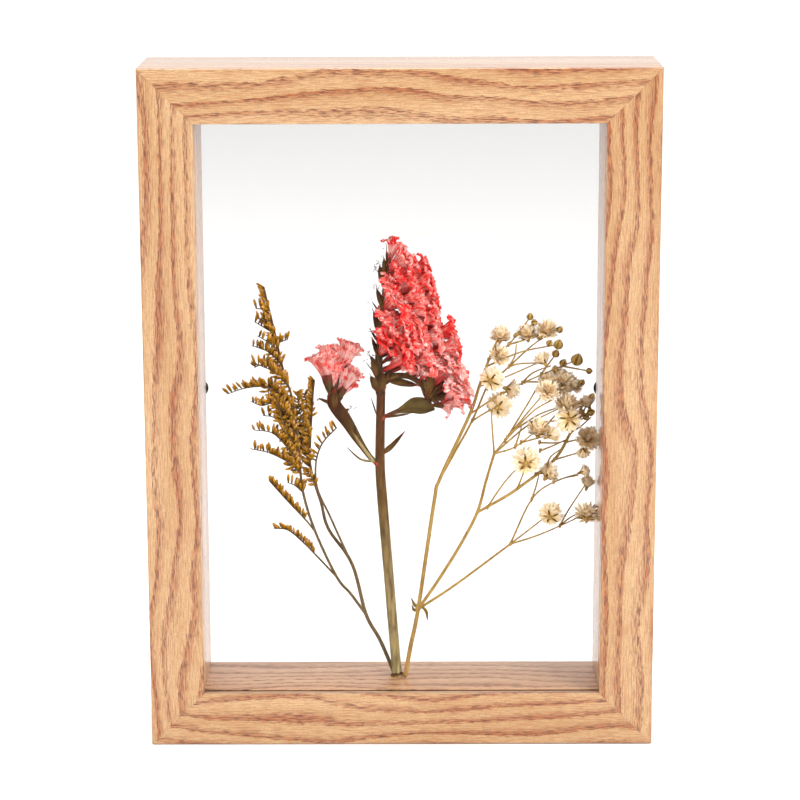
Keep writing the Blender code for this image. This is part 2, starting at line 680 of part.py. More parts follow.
def flower_shapes(flowers, rachis, seed, length=STATICE_FLOWER_LENGTH, lift=7.0):
    """Papery flowers: each opens away from the stalk that carries it."""
    shapes = []
    for number, (mouth, radius) in enumerate(flowers):
        root = nearest_on(rachis, mouth, lift)
        way = np.array(mouth) - root
        distance = np.linalg.norm(way)
        way /= distance
        foot = np.array(mouth) - way * min(max(length, 0.55 * distance), distance)
        shapes.append(calyx(foot, mouth, radius, seed + number))
    return shapes


def statice_pieces(finish_stem, finish_leaf, finish_flower):
    """The statice: stem, winged side branch, leaf and the crowded flowers."""
    stem = tube(STATICE_STEM, (1.5, 1.45, 1.35, 1.2), sides=8)
    around_stem = tube(
        [(-1.4, 0.0, 12.0)] + STATICE_STEM[1:], (1.9, 1.8, 1.75, 1.7, 1.65), sides=8
    )
    bracts = [
        spindle((-5.6, 0.0, 103.4), (3.2, -0.6, 104.7), 0.5),
        spindle((-7.4, 0.0, 103.0), (-9.6, -0.4, 110.4), 0.45),
        leaf([(-6.4, 0.0, 91.0), (-2.8, -0.6, 94.2), (1.3, -0.8, 99.0)], (0.8, 2.0, 0.4)),
    ]
    grown("statice_stem", [stem] + bracts, finish_stem)
    wing = tube(STATICE_SIDE, (0.7, 0.9, 1.5, 2.4, 2.2, 1.2), sides=6, flat=0.38)
    clasps = [
        tube([(-8.6, 0.0, 88.8), (-13.0, -0.3, 89.8), (-17.2, -0.3, 93.6)], (0.5, 0.5, 0.2), sides=4),
        spindle((-21.8, -0.8, 108.0), (-22.8, -0.8, 117.0), 1.7),
        spindle((-20.6, -0.6, 107.6), (-18.2, -1.4, 115.6), 1.7),
        spindle((-20.6, -0.4, 107.8), (-19.0, 1.8, 115.2), 1.5),
        spindle((-21.6, -0.8, 107.8), (-26.4, -0.8, 110.0), 0.7),
        spindle((-19.0, -0.6, 105.0), (-16.2, -0.6, 106.4), 0.8),
    ]
    tip = [(-22.0, -0.8, 110.0), (-20.6, -0.6, 108.6)]
    flowers = flower_shapes(STATICE_SIDE_FLOWERS, tip, 300, length=10.0, lift=9.0)
    grown(
        "statice_side_branch", [wing] + clasps + flowers, finish_flower, cut_by=[around_stem], keep=0.54
    )
    blade = leaf(
        [(-6.4, 0.0, 103.6), (-1.0, -0.8, 105.4), (4.8, -1.4, 107.2), (8.0, -1.4, 106.4),
         (10.6, -1.2, 104.8)],
        (1.2, 2.0, 5.4, 5.2, 0.8),
        0.7,
    )
    around_stem_top = tube([(-6.7, 0.0, 80.0), (-6.4, 0.0, 118.0)], (1.7, 1.6), sides=8, steps=1)
    bract_clear = spindle((-6.6, 0.0, 103.1), (3.8, -0.7, 104.6), 0.95)
    grown("statice_leaf", [blade], finish_leaf, cut_by=[around_stem_top, bract_clear])
    shapes = [
        tube(STATICE_CORE, STATICE_CORE_RADII, sides=8, steps=1),
        tube(STATICE_LOW_CORE, STATICE_LOW_CORE_RADII, sides=7, steps=1),
        tube(STATICE_RACHIS, (1.2, 1.1, 0.9, 0.7, 0.6), sides=5, steps=1),
        tube(STATICE_LOW_RACHIS, (1.1, 1.0, 0.9, 0.8), sides=5, steps=1),
    ]
    shapes += [spindle(*bract) for bract in STATICE_HEAD_BRACTS]
    shapes += flower_shapes(STATICE_HEAD_FLOWERS, STATICE_RACHIS, 100)
    shapes += flower_shapes(STATICE_LOW_FLOWERS, STATICE_LOW_RACHIS, 200, 7.0, 2.0)
    grown("statice_flower_head", shapes, finish_flower, keep=0.48)


# Baby's breath: straw-coloured stems that fork and fork again, with round double flowers and buds

BREATH_NODE_LOW = (5.4, -1.6, 40.1)
BREATH_NODE_UPPER = (12.5, -0.6, 83.5)
BREATH_NODE_MIDDLE = (24.3, -4.5, 73.2)
BREATH_NODE_RIGHT = (35.2, 3.5, 60.4)

BREATH_STEM = [
    (1.2, -1.8, 17.6), (3.0, -1.8, 28.0), BREATH_NODE_LOW, (10.6, -0.8, 75.9), BREATH_NODE_UPPER,
    (22.0, -0.2, 104.5), (24.9, -0.4, 113.5), (27.7, -0.4, 121.5), (31.2, -0.2, 129.8),
]
BREATH_UPPER = [BREATH_NODE_UPPER, (17.4, 1.2, 92.0), (22.7, 2.2, 101.6), (27.6, 2.8, 113.2)]
BREATH_MIDDLE = [
    BREATH_NODE_LOW, (12.0, -3.2, 50.5), (19.0, -4.2, 62.5), BREATH_NODE_MIDDLE, (26.9, -4.5, 82.9),
    (29.6, -4.2, 92.4),
]
BREATH_RIGHT = [
    BREATH_NODE_MIDDLE, (31.0, -1.6, 76.2), (37.3, 0.2, 79.8), (49.0, 1.6, 88.9), (54.3, 2.0, 97.9),
    (58.1, 2.0, 104.4),
]
BREATH_LOW = [BREATH_NODE_LOW, (16.0, 0.8, 46.5), (26.0, 2.4, 53.6), BREATH_NODE_RIGHT]

# Each branch's twigs, double flowers (centre, radius) and buds (centre, radius)
BREATH_STEM_TWIGS = [
    [(27.7, -0.4, 122.0), (34.1, 0.4, 126.8), (40.6, 0.8, 135.0)],
    [(34.1, 0.4, 126.8), (39.9, -0.6, 128.8), (46.0, -1.0, 131.6)],
    [(36.5, 0.6, 129.8), (40.0, 1.4, 130.6)],
    [(27.2, -0.4, 120.0), (38.0, -1.4, 124.8), (49.4, -2.2, 127.3)],
    [(24.9, -0.4, 113.5), (33.6, -1.4, 116.9), (44.6, -2.0, 122.0)],
    [(22.0, -0.2, 104.5), (33.2, 2.0, 111.2), (46.5, 4.0, 117.0), (56.0, 5.0, 120.8)],
    [(39.5, 3.0, 114.2), (47.0, 4.4, 113.8), (52.4, 4.8, 113.2)],
    [(51.2, 4.5, 119.0), (60.0, 4.2, 117.4)],
    [(44.6, 3.8, 116.3), (49.4, 5.0, 122.8)],
    [(44.0, -1.0, 131.0), (50.2, -1.2, 132.0)],
    [(24.9, -0.4, 113.5), (29.0, -1.4, 116.3)],
    [(36.0, 0.6, 129.5), (42.4, 1.6, 133.6)],
]
BREATH_STEM_FLOWERS = [
    ((31.6, -0.2, 130.6), 2.3), ((31.6, -0.6, 123.8), 2.2), ((29.4, -1.6, 116.6), 2.4),
    ((40.1, 1.4, 130.8), 2.3), ((46.2, -1.0, 132.2), 2.3), ((44.8, -2.2, 122.6), 2.0),
    ((51.4, 4.6, 113.8), 2.8), ((55.2, 4.6, 112.8), 2.0), ((47.4, 4.6, 114.0), 2.4),
    ((35.4, 2.6, 111.8), 2.2),
]
BREATH_STEM_BUDS = [
    ((40.9, 0.9, 135.8), 1.1), ((42.4, 1.6, 133.7), 1.0), ((50.2, -1.2, 132.0), 1.1),
    ((44.2, -0.8, 129.6), 1.0), ((47.0, -2.0, 127.8), 1.0), ((49.8, -2.2, 127.4), 1.5),
    ((49.4, 5.0, 123.0), 1.2), ((51.8, 4.6, 120.0), 1.2), ((56.2, 5.0, 121.0), 1.8),
    ((60.1, 4.2, 117.4), 1.0), ((49.2, 4.2, 118.1), 1.0), ((57.8, 4.6, 113.6), 1.0),
]
BREATH_UPPER_TWIGS = [[(22.7, 2.2, 101.6), (29.0, 3.6, 105.2), (31.9, 3.8, 106.6)]]
BREATH_UPPER_FLOWERS = [((31.9, 3.8, 106.8), 2.5), ((27.9, 2.8, 113.6), 1.6)]
BREATH_MIDDLE_TWIGS = [
    [(29.6, -4.2, 92.4), (28.9, -4.6, 102.0), (28.6, -4.6, 107.0)],
    [(29.6, -4.2, 92.4), (39.1, -4.2, 104.5), (46.0, -3.6, 112.6)],
    [(29.6, -4.2, 92.4), (41.0, -3.0, 101.9), (52.0, -2.4, 107.6)],
    [(29.6, -4.2, 92.4), (36.2, -5.4, 94.9), (43.2, -6.0, 100.6)],
    [(38.0, -5.4, 96.3), (47.4, -6.0, 99.0)],
    [(41.0, -3.0, 101.9), (52.6, -3.8, 103.4)],
]
BREATH_MIDDLE_FLOWERS = [
    ((46.6, -3.6, 113.2), 2.3), ((52.8, -2.4, 108.4), 2.6), ((43.6, -6.0, 101.4), 2.5),
    ((47.8, -6.2, 99.2), 2.2), ((53.0, -4.0, 103.4), 2.5), ((28.6, -4.6, 107.6), 1.2),
]
BREATH_RIGHT_TWIGS = [
    [(27.5, -3.1, 74.4), (33.0, -2.0, 82.4), (39.6, -1.4, 89.6)],
    [(37.3, 0.2, 79.8), (39.8, -0.6, 87.0)],
    [(43.0, 0.9, 84.2), (47.4, 0.2, 85.2)],
    [(49.0, 1.6, 88.9), (58.0, 1.0, 91.8)],
    [(52.5, 1.8, 94.6), (59.8, 0.6, 96.6)],
    [(44.0, -1.8, 95.4), (49.5, 0.4, 94.8), (52.8, 1.8, 95.2)],
    [(58.1, 2.0, 104.4), (59.4, 2.0, 107.2)],
    [(57.6, 2.0, 103.4), (60.6, 1.4, 104.8)],
    [(56.4, 2.0, 101.4), (59.2, 3.0, 102.8)],
    [(59.4, 2.0, 107.2), (61.0, 2.6, 109.6)],
    [(58.1, 2.0, 104.4), (57.0, 1.0, 107.2)],
]
BREATH_RIGHT_FLOWERS = [
    ((40.0, -1.6, 90.2), 2.9), ((47.7, 0.2, 85.2), 2.4), ((60.0, 0.6, 96.6), 2.4), ((58.2, 1.0, 91.8), 1.5),
    ((59.4, 2.0, 107.6), 2.2),
]
BREATH_RIGHT_BUDS = [
    ((57.4, 2.4, 104.4), 1.2), ((60.6, 1.4, 104.6), 1.3), ((59.2, 3.0, 102.6), 1.1),
    ((61.0, 2.6, 109.6), 1.0), ((57.0, 1.0, 107.2), 1.2),
]
BREATH_LOW_TWIGS = [
    [BREATH_NODE_RIGHT, (42.0, 4.4, 75.0), (49.0, 5.0, 80.6), (58.4, 5.2, 83.8)],
    [BREATH_NODE_RIGHT, (48.0, 2.4, 71.0)],
    [BREATH_NODE_RIGHT, (43.3, 4.4, 62.8), (51.2, 5.0, 66.0), (60.0, 5.4, 70.2)],
    [(51.2, 5.0, 66.0), (54.1, 6.2, 71.1), (59.4, 7.0, 79.2)],
]
BREATH_LOW_FLOWERS = [((48.3, 2.2, 71.4), 2.4), ((60.0, 5.4, 70.8), 2.5), ((60.2, 7.0, 79.8), 1.9)]
BREATH_LOW_BUDS = [((58.6, 5.2, 83.8), 1.5)]


def breath_branch(name, main, twigs, flowers, buds, finish, radii, cut_by=(), keep=1.0):
    """One branch of the baby's breath with the twigs, flowers and buds that grow on it."""
    shapes = [tube(main, radii, sides=5)]
    shapes += [tube(twig, (0.35, 0.28), sides=4, steps=1) for twig in twigs]
    shapes += [ball(centre, radius) for centre, radius in flowers]
    shapes += [bud(centre, radius, (0.5, 0.0, 1.0)) for centre, radius in buds]
    grown(name, shapes, finish, cut_by, keep)


def breath_pieces(finish):
    """The baby's breath, split at its main forks."""
    around_stem = tube(BREATH_STEM, (1.05, 1.0, 0.95, 0.8), sides=6)
    around_middle = tube(BREATH_MIDDLE, (0.85, 0.8, 0.75), sides=6)
    breath_branch(
        "babys_breath_stem", BREATH_STEM, BREATH_STEM_TWIGS, BREATH_STEM_FLOWERS, BREATH_STEM_BUDS, finish,
        (0.7, 0.6, 0.5, 0.35), keep=0.44,
    )
    breath_branch(
        "babys_breath_upper", BREATH_UPPER, BREATH_UPPER_TWIGS, BREATH_UPPER_FLOWERS, [], finish,
        (0.45, 0.35), [around_stem],
    )
    breath_branch(
        "babys_breath_middle", BREATH_MIDDLE, BREATH_MIDDLE_TWIGS, BREATH_MIDDLE_FLOWERS, [], finish,
        (0.5, 0.45, 0.4), [around_stem], 0.62,
    )
    breath_branch(
        "babys_breath_right", BREATH_RIGHT, BREATH_RIGHT_TWIGS, BREATH_RIGHT_FLOWERS, BREATH_RIGHT_BUDS,
        finish, (0.5, 0.5, 0.4), [around_middle], 0.5,
    )
    breath_branch(
        "babys_breath_low", BREATH_LOW, BREATH_LOW_TWIGS, BREATH_LOW_FLOWERS, BREATH_LOW_BUDS, finish,
        (0.45, 0.4), [around_stem, around_middle], 0.65,
    )


def frame_pieces():
    """Rails, panes and the wooden strips between the panes."""
    oak = material("limed ash", "#E6B081", 0.5)
    lining = material("lining strip", "#DDBCA2", 0.6)
    clear = material("clear pane", "#F4F8F7", 0.02, transmission=1.0)
    rails = {side: mitred_rail("rail_" + side, side, oak) for side in ("top", "bottom", "left", "right")}
    out = HALF_WIDTH - REBATE - FIT_GAP
    inside = HALF_WIDTH - RAIL_WIDTH
    low = REBATE + FIT_GAP
    high = FRAME_HEIGHT - REBATE - FIT_GAP
    front = SPACER_FRONT
    block("spacer_bottom", (-out, front, low), (out, SPACER_BACK, RAIL_WIDTH), lining, 0.2)
    block("spacer_top", (-out, front, FRAME_HEIGHT - RAIL_WIDTH), (out, SPACER_BACK, high), lining, 0.2)
    foot = RAIL_WIDTH + FIT_GAP
    head = FRAME_HEIGHT - RAIL_WIDTH - FIT_GAP
    block("spacer_left", (-out, front, foot), (-inside, SPACER_BACK, head), lining, 0.2)
    block("spacer_right", (inside, front, foot), (out, SPACER_BACK, head), lining, 0.2)
    pane_near = LIP_THICKNESS + FIT_GAP
    block("pane_front", (-out, pane_near, low), (out, pane_near + PANE_THICKNESS, high), clear)
    pane_near = SPACER_BACK + FIT_GAP
    block("pane_back", (-out, pane_near, low), (out, pane_near + PANE_THICKNESS, high), clear)
    return rails


def turn_buttons(rails):
    """Two black turn buttons on the back, each on a screw that stands in a hole in its rail."""
    black = material("black steel", "#1A1A1C", 0.4, metallic=0.6)
    plan = (("left", -1, BUTTON_HEIGHT_LEFT, 0.0), ("right", 1, BUTTON_HEIGHT_RIGHT, BUTTON_TILT_RIGHT))
    for side_name, side, height, tilt in plan:
        made, pivot_x = turn_button("turn_button_" + side_name, side, height, tilt, black)
        bit = drill_bit("drill_bit_" + side_name, pivot_x, height)
        drill(rails[side_name], bit)
        drill(made, bit)
        screw("screw_" + side_name, pivot_x, height, black)


def build():
    """Builds every piece."""
    clear_scene()
    rails = frame_pieces()
    turn_buttons(rails)
    twig = material("dry stem", "#7A6A55", 0.8)
    golden = material("golden spikelets", "#9A6A1E", 0.8)
    olive = material("olive stem", "#7C6B4C", 0.75)
    green = material("olive leaf", "#5E5436", 0.75)
    coral = material("coral paper", "#E4545C", 0.7)
    straw = material("straw", "#C9AE74", 0.75)
    lavender_pieces(twig, golden)
    statice_pieces(olive, green, coral)
    breath_pieces(straw)


build()
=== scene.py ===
"""Looks of a small standing frame with three dried flower stems between two panes of glass.

Every mesh is worked out in millimetres: x to the right from the frame's middle, y back from the front face,
z up from the surface under the frame. Blender gets it in metres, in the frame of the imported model.
"""

import math

import bpy
import numpy as np
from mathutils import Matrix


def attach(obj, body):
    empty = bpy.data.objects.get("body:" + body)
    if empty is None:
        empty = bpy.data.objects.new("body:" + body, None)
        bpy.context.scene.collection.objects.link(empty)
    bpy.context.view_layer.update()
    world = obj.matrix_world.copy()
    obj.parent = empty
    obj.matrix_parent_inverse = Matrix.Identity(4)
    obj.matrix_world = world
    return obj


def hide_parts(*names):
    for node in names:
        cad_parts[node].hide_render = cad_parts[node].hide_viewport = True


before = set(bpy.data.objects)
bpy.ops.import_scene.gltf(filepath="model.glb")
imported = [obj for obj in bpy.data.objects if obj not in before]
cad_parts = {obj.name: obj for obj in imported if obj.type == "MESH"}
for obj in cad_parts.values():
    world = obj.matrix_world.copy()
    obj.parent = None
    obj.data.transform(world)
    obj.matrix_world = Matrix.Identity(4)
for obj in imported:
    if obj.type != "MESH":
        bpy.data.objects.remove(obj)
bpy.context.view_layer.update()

# Rails: four lengths of pale ash moulding, 17 mm wide and 37 mm deep, mitred and glued at the corners.
# Ash is ring-porous, so brown bands of open pores run along each rail with smooth pale wood between them.
# The edges are eased with sandpaper and the finish is a thin matt lacquer. A lip holds the front pane.
MM = 0.001
FRONT_Y = -19.5
FRAME_WIDTH = 160.0
FRAME_HEIGHT = 216.0
RAIL_WIDTH = 17.0
RAIL_DEPTH = 37.0
LIP_THICKNESS = 2.6
REBATE = 12.0
EDGE = 0.6
FINE_EDGE = 0.15
MITRE_GAP = 0.02
BAND_SPACING = 5.0

# Noises of the wood: waves to a metre along and across the grain, and their detail
ASH_NOISES = {
    "bend": (13.0, 34.0, 1.5), "rag": (330.0, 2400.0, 3.0), "fibre": (120.0, 3200.0, 3.0),
    "dash": (300.0, 2900.0, 2.0), "fleck": (1300.0, 2200.0, 1.0), "patch": (9.0, 90.0, 2.0),
}


def colour(hex_text):
    """An sRGB hex colour as linear red, green and blue with full opacity."""
    channels = np.array([int(hex_text[i:i + 2], 16) for i in (1, 3, 5)]) / 255
    straight = np.where(channels <= 0.04045, channels / 12.92, ((channels + 0.055) / 1.055) ** 2.4)
    return (*straight.tolist(), 1.0)


def surface(name, **sockets):
    """A Principled material; a value that is the same all over is set on the shader's own socket."""
    made = bpy.data.materials.new(name)
    made.use_nodes = True
    shader = made.node_tree.nodes["Principled BSDF"]
    for socket, value in sockets.items():
        shader.inputs[socket.replace("_", " ")].default_value = value
    return made, shader


def feed(finish, node, inputs):
    """Gives each input of a node a value, or a link from an output or from a node's first output."""
    for name, value in inputs.items():
        source = value.outputs[0] if isinstance(value, bpy.types.Node) else value
        if isinstance(source, bpy.types.NodeSocket):
            finish.node_tree.links.new(source, node.inputs[name])
        else:
            node.inputs[name].default_value = source


def add_node(finish, kind, inputs=None, stops=None, **properties):
    """Adds a node: properties are set on it, feed fills its inputs, and stops fill a colour ramp."""
    node = finish.node_tree.nodes.new("ShaderNode" + kind)
    for name, value in properties.items():
        setattr(node, name, value)
    feed(finish, node, inputs or {})
    if stops:
        elements = node.color_ramp.elements
        while len(elements) < len(stops):
            elements.new(1.0)
        for element, (place, shade) in zip(elements, stops):
            element.position = place
            element.color = colour(shade)
    return node


def weave(rows, columns, wrap=False):
    """Quads between the rows and columns of a grid of points, and the (row, column) of each corner.

    Where the grid wraps round, the corners past the last column keep its number plus one.
    """
    r, c = np.meshgrid(np.arange(rows - 1), np.arange(columns if wrap else columns - 1), indexing="ij")
    corners = [(r, c), (r, c + 1), (r + 1, c + 1), (r + 1, c)]
    quads = np.stack([row * columns + column % columns for row, column in corners], axis=-1)
    spots = np.stack([np.stack(corner, axis=-1) for corner in corners], axis=-2)
    return quads.reshape(-1, 4), spots.reshape(-1, 4, 2)


def show(name, points, faces, corner_uv, finish, node, body="frame", chance=None, sharp=35):
    """Makes a finished piece that stands for a CAD node and rides on its body.

    The points are in millimetres from the front face. corner_uv holds one pair for each face corner, and
    chance one number for each point, the same over each small shape, which materials read to vary them.
    """
    mesh = bpy.data.meshes.new(name)
    placed = (np.asarray(points).reshape(-1, 3) + [0.0, FRONT_Y, 0.0]) * MM
    mesh.from_pydata(placed.tolist(), [], faces)
    uv_map = mesh.uv_layers.new(name="along_and_round")
    uv_map.data.foreach_set("uv", np.asarray(corner_uv, np.float32).ravel())
    if chance is not None:
        mesh.attributes.new("chance", "FLOAT", "POINT").data.foreach_set("value", chance.astype(np.float32))
    mesh.materials.append(finish)
    mesh.shade_smooth()
    mesh.set_sharp_from_angle(angle=math.radians(sharp))
    piece = bpy.data.objects.new(name, mesh)
    bpy.context.collection.objects.link(piece)
    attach(piece, body)
    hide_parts(node)
    return piece


def rounded_outline(corners, steps=5):
    """A closed outline whose corners (x, y, radius) are rounded.

    Each corner is a curve p0 (1-t)^2 + 2 c t (1-t) + p2 t^2 between points that lie the radius before and
    after the corner c.
    """
    corners = np.array(corners)
    here = corners[:, None, :2]
    before = np.roll(here, 1, axis=0) - here
    after = np.roll(here, -1, axis=0) - here
    radius = corners[:, None, 2:]
    start = here + before / np.linalg.norm(before, axis=2, keepdims=True) * radius
    end = here + after / np.linalg.norm(after, axis=2, keepdims=True) * radius
    t = np.linspace(0, 1, steps)[None, :, None]
    return (start * (1 - t) ** 2 + 2 * here * t * (1 - t) + end * t ** 2).reshape(-1, 2)


def moulding(outline, half_lengths, centre, turn, start_along):
    """A length of wood: its outline (in, back) carried between two ends, each cut where half_lengths says.

    u is the distance along the wood and v the distance round the outline, both in metres, so the grain keeps
    its real size and flows round the edges.
    """
    count = len(outline)
    cos, sin = math.cos(turn), math.sin(turn)
    ends = np.array([-1.0, 1.0])[:, None] * half_lengths
    inward = np.broadcast_to(outline[:, 0], ends.shape)
    back = np.broadcast_to(outline[:, 1], ends.shape)
    x = centre[0] + ends * cos + inward * sin
    z = centre[1] + ends * sin - inward * cos
    points = np.stack([x, back, z], axis=-1)
    quads, spots = weave(2, count, wrap=True)
    closed = np.vstack([outline, outline[:1]])
    round_it = np.concatenate([[0.0], np.cumsum(np.linalg.norm(np.diff(closed, axis=0), axis=1))])
    along = ends[spots[..., 0], spots[..., 1] % count] + start_along
    uv = np.stack([along, round_it[spots[..., 1]]], axis=-1).reshape(-1, 2)
    caps = [list(range(count))[::-1], list(range(count, 2 * count))]
    cap_uv = np.stack([back.ravel(), inward.ravel()], axis=-1)[np.concatenate(caps)]
    return points, quads.tolist() + caps, np.vstack([uv, cap_uv]) * MM


def ash(name, tones, band_strength, lacquer):
    """Lacquered ash: bands of pores across v that bend slowly along u, made of short dark dashes.

    The band's place is v + a slow wave + a ragged edge, divided by the ring spacing; each band starts sharply
    and fades. Pores are noise stretched along u, about 3.3 mm long and 0.35 mm wide, and flecks are 0.8 mm.
    A patchy noise, about 110 mm long and 11 mm wide, makes the bands fainter in places.
    """
    finish, shader = surface(
        name, Roughness=0.55, Coat_Weight=lacquer, Coat_Roughness=0.2, Specular_IOR_Level=0.15
    )
    uv = add_node(finish, "UVMap", uv_map="along_and_round")
    noise = {}
    for use, (along, across, detail) in ASH_NOISES.items():
        stretched = add_node(finish, "Mapping", {"Vector": uv, "Scale": (along, across, 1.0)})
        noise[use] = add_node(finish, "TexNoise", {"Vector": stretched, "Scale": 1.0, "Detail": detail})
    split = add_node(finish, "SeparateXYZ", {"Vector": uv})
    rings = 1.0 / (BAND_SPACING * MM)
    place = add_node(finish, "Math", {0: split.outputs["Y"], 1: rings}, operation="MULTIPLY")
    wave = add_node(finish, "Math", {0: noise["bend"], 1: 4.2, 2: place}, operation="MULTIPLY_ADD")
    edge = add_node(finish, "Math", {0: noise["rag"], 1: 0.5, 2: wave}, operation="MULTIPLY_ADD")
    ring = add_node(finish, "Math", {0: edge}, operation="FRACT")
    band = add_node(finish, "ValToRGB", {"Fac": ring}, stops=[
        (0.0, "#000000"), (0.08, "#ECECEC"), (0.26, "#D0D0D0"), (0.42, "#828282"), (0.62, "#363636"),
        (1.0, "#000000"),
    ])
    pore = add_node(finish, "MapRange", {0: noise["dash"], 1: 0.47, 2: 0.58})
    flecks = add_node(finish, "MapRange", {0: noise["fleck"], 1: 0.4, 2: 0.66, 4: 0.34})
    pale, mid, brown, deep = (colour(tone) for tone in tones)
    tint = add_node(finish, "MapRange", {0: noise["patch"], 1: 0.3, 2: 0.7})
    ground = add_node(finish, "MixRGB", {"Fac": tint, "Color1": pale, "Color2": mid})
    streak = add_node(finish, "MapRange", {0: noise["fibre"], 1: 0.44, 2: 0.62, 4: 0.5})
    both = add_node(finish, "Math", {0: streak, 1: flecks}, operation="MAXIMUM")
    fine = add_node(finish, "MixRGB", {"Fac": both, "Color1": ground, "Color2": brown})
    texture = add_node(finish, "MapRange", {0: noise["fibre"], 1: 0.32, 2: 0.54, 3: 0.5})
    ragged = add_node(finish, "Math", {0: band, 1: texture}, operation="MULTIPLY")
    fade = add_node(finish, "MapRange", {0: noise["patch"], 1: 0.36, 2: 0.58, 3: 0.45, 4: 1.1})
    faded = add_node(finish, "Math", {0: ragged, 1: fade}, operation="MULTIPLY")
    strength = add_node(finish, "Math", {0: faded, 1: band_strength}, operation="MULTIPLY", use_clamp=True)
    banded = add_node(finish, "MixRGB", {"Fac": strength, "Color1": fine, "Color2": brown})
    in_band = add_node(finish, "MapRange", {0: band, 3: 0.2})
    hole = add_node(finish, "Math", {0: pore, 1: in_band}, operation="MULTIPLY")
    pored = add_node(finish, "MixRGB", {"Fac": hole, "Color1": banded, "Color2": deep})
    depth = add_node(finish, "Math", {0: hole, 1: -1.0}, operation="MULTIPLY")
    bump = add_node(finish, "Bump", {"Height": depth, "Strength": 0.5, "Distance": 0.12 * MM})
    feed(finish, shader, {"Base Color": pored, "Normal": bump})
    return finish


def leave_bare_painted_shade(piece, sides):
    """Gives the bare finish to the sides of a length of wood that lie in the rebate, counted round it:
    unlacquered wood whose dark tones are painted shade of the slot where the pane sits.
    """
    piece.data.materials.append(bare_ash_painted_shade)
    kinds = np.zeros(len(piece.data.polygons), np.int32)
    kinds[sides] = 1
    piece.data.polygons.foreach_set("material_index", kinds)


rail_ash = ash("lacquered_ash", ("#BC9C72", "#A88456", "#8A400E", "#521E02"), 1.0, 1.0)
# Rebate ash: bare, unlacquered wood, and its dark tones are painted shade for the shadowed slot that holds
# the pane.
bare_ash_painted_shade = ash("bare_rebate_ash_painted_shade", ("#7A4E2C", "#6C4224", "#502C12", "#381C0A"), 0.6, 0.0)
rail_outline = rounded_outline([
    (0.0, 0.0, EDGE),
    (RAIL_WIDTH, 0.0, EDGE),
    (RAIL_WIDTH, LIP_THICKNESS, FINE_EDGE),
    (REBATE, LIP_THICKNESS, FINE_EDGE),
    (REBATE, RAIL_DEPTH, FINE_EDGE),
    (0.0, RAIL_DEPTH, EDGE),
])
REBATE_SIDES = [14, 15, 16, 17, 18, 19]

# Rails: middle of the outer edge, turn, length, and how far along its plank the grain starts
RAILS = {
    "rail_top": ((0.0, FRAME_HEIGHT), 0.0, FRAME_WIDTH, 131.0),
    "rail_bottom": ((0.0, 0.0), math.pi, FRAME_WIDTH, 412.0),
    "rail_left": ((-FRAME_WIDTH / 2, FRAME_HEIGHT / 2), math.pi / 2, FRAME_HEIGHT, 733.0),
    "rail_right": ((FRAME_WIDTH / 2, FRAME_HEIGHT / 2), -math.pi / 2, FRAME_HEIGHT, 1018.0),
}
for rail, (centre, turn, length, start_along) in RAILS.items():
    mitred = length / 2 - rail_outline[:, 0] - MITRE_GAP
    points, faces, uv = moulding(rail_outline, mitred, centre, turn, start_along)
    piece = show("ash_" + rail, points, faces, uv, rail_ash, rail)
    leave_bare_painted_shade(piece, REBATE_SIDES)

# Lining strips: four flat strips of the same ash between the panes, which keep them apart. The side strips
# stand between the lower and the upper one. They are a little pinker than the rails, and nearly as shiny.
SPACER_FRONT = 5.0
SPACER_BACK = 33.2
SPACER_OUT = 67.8
STRIP_EDGE = 0.2
FIT_GAP = 0.2

strip_ash = ash("lining_ash", ("#E2B48C", "#CE9C74", "#8E522C", "#582E14"), 0.75, 0.85)
strip_outline = rounded_outline([
    (REBATE + FIT_GAP, SPACER_FRONT, STRIP_EDGE),
    (RAIL_WIDTH, SPACER_FRONT, STRIP_EDGE),
    (RAIL_WIDTH, SPACER_BACK, STRIP_EDGE),
    (REBATE + FIT_GAP, SPACER_BACK, STRIP_EDGE),
])
# The strip's front face, against the front pane, gets the same painted shade of the slot.
STRIP_FRONT = [4]
PLANK_STEP = 60.0
STRIPS = {
    "spacer_top": ("rail_top", SPACER_OUT),
    "spacer_bottom": ("rail_bottom", SPACER_OUT),
    "spacer_left": ("rail_left", FRAME_HEIGHT / 2 - RAIL_WIDTH - FIT_GAP),
    "spacer_right": ("rail_right", FRAME_HEIGHT / 2 - RAIL_WIDTH - FIT_GAP),
}
for strip, (rail, half_length) in STRIPS.items():
    centre, turn, _, start_along = RAILS[rail]
    square = np.full(len(strip_outline), half_length)
    points, faces, uv = moulding(strip_outline, square, centre, turn, start_along + PLANK_STEP)
    piece = show("ash_" + strip, points, faces, uv, strip_ash, strip)
    leave_bare_painted_shade(piece, STRIP_FRONT)

# Panes: two sheets of clear float glass, 2 mm thick, cut square with ground edges that the rails hide. Lamp
# light passes straight through them, as it does through a real thin pane, so the flowers are lit inside.
glass, glass_shader = surface(
    "float_glass", Roughness=0.0, IOR=1.52, Transmission_Weight=1.0, Base_Color=colour("#EEEEEE"),
    Specular_Tint=colour("#3C3C3C"),
)
lamp_ray = add_node(glass, "LightPath").outputs["Is Shadow Ray"]
let_through = add_node(glass, "BsdfTransparent", {"Color": colour("#F7FAF9")})
pane_mix = add_node(glass, "MixShader", {0: lamp_ray, 1: glass_shader, 2: let_through})
feed(glass, glass.node_tree.nodes["Material Output"], {"Surface": pane_mix})
for pane in ("pane_front", "pane_back"):
    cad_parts[pane].data.materials.clear()
    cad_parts[pane].data.materials.append(glass)

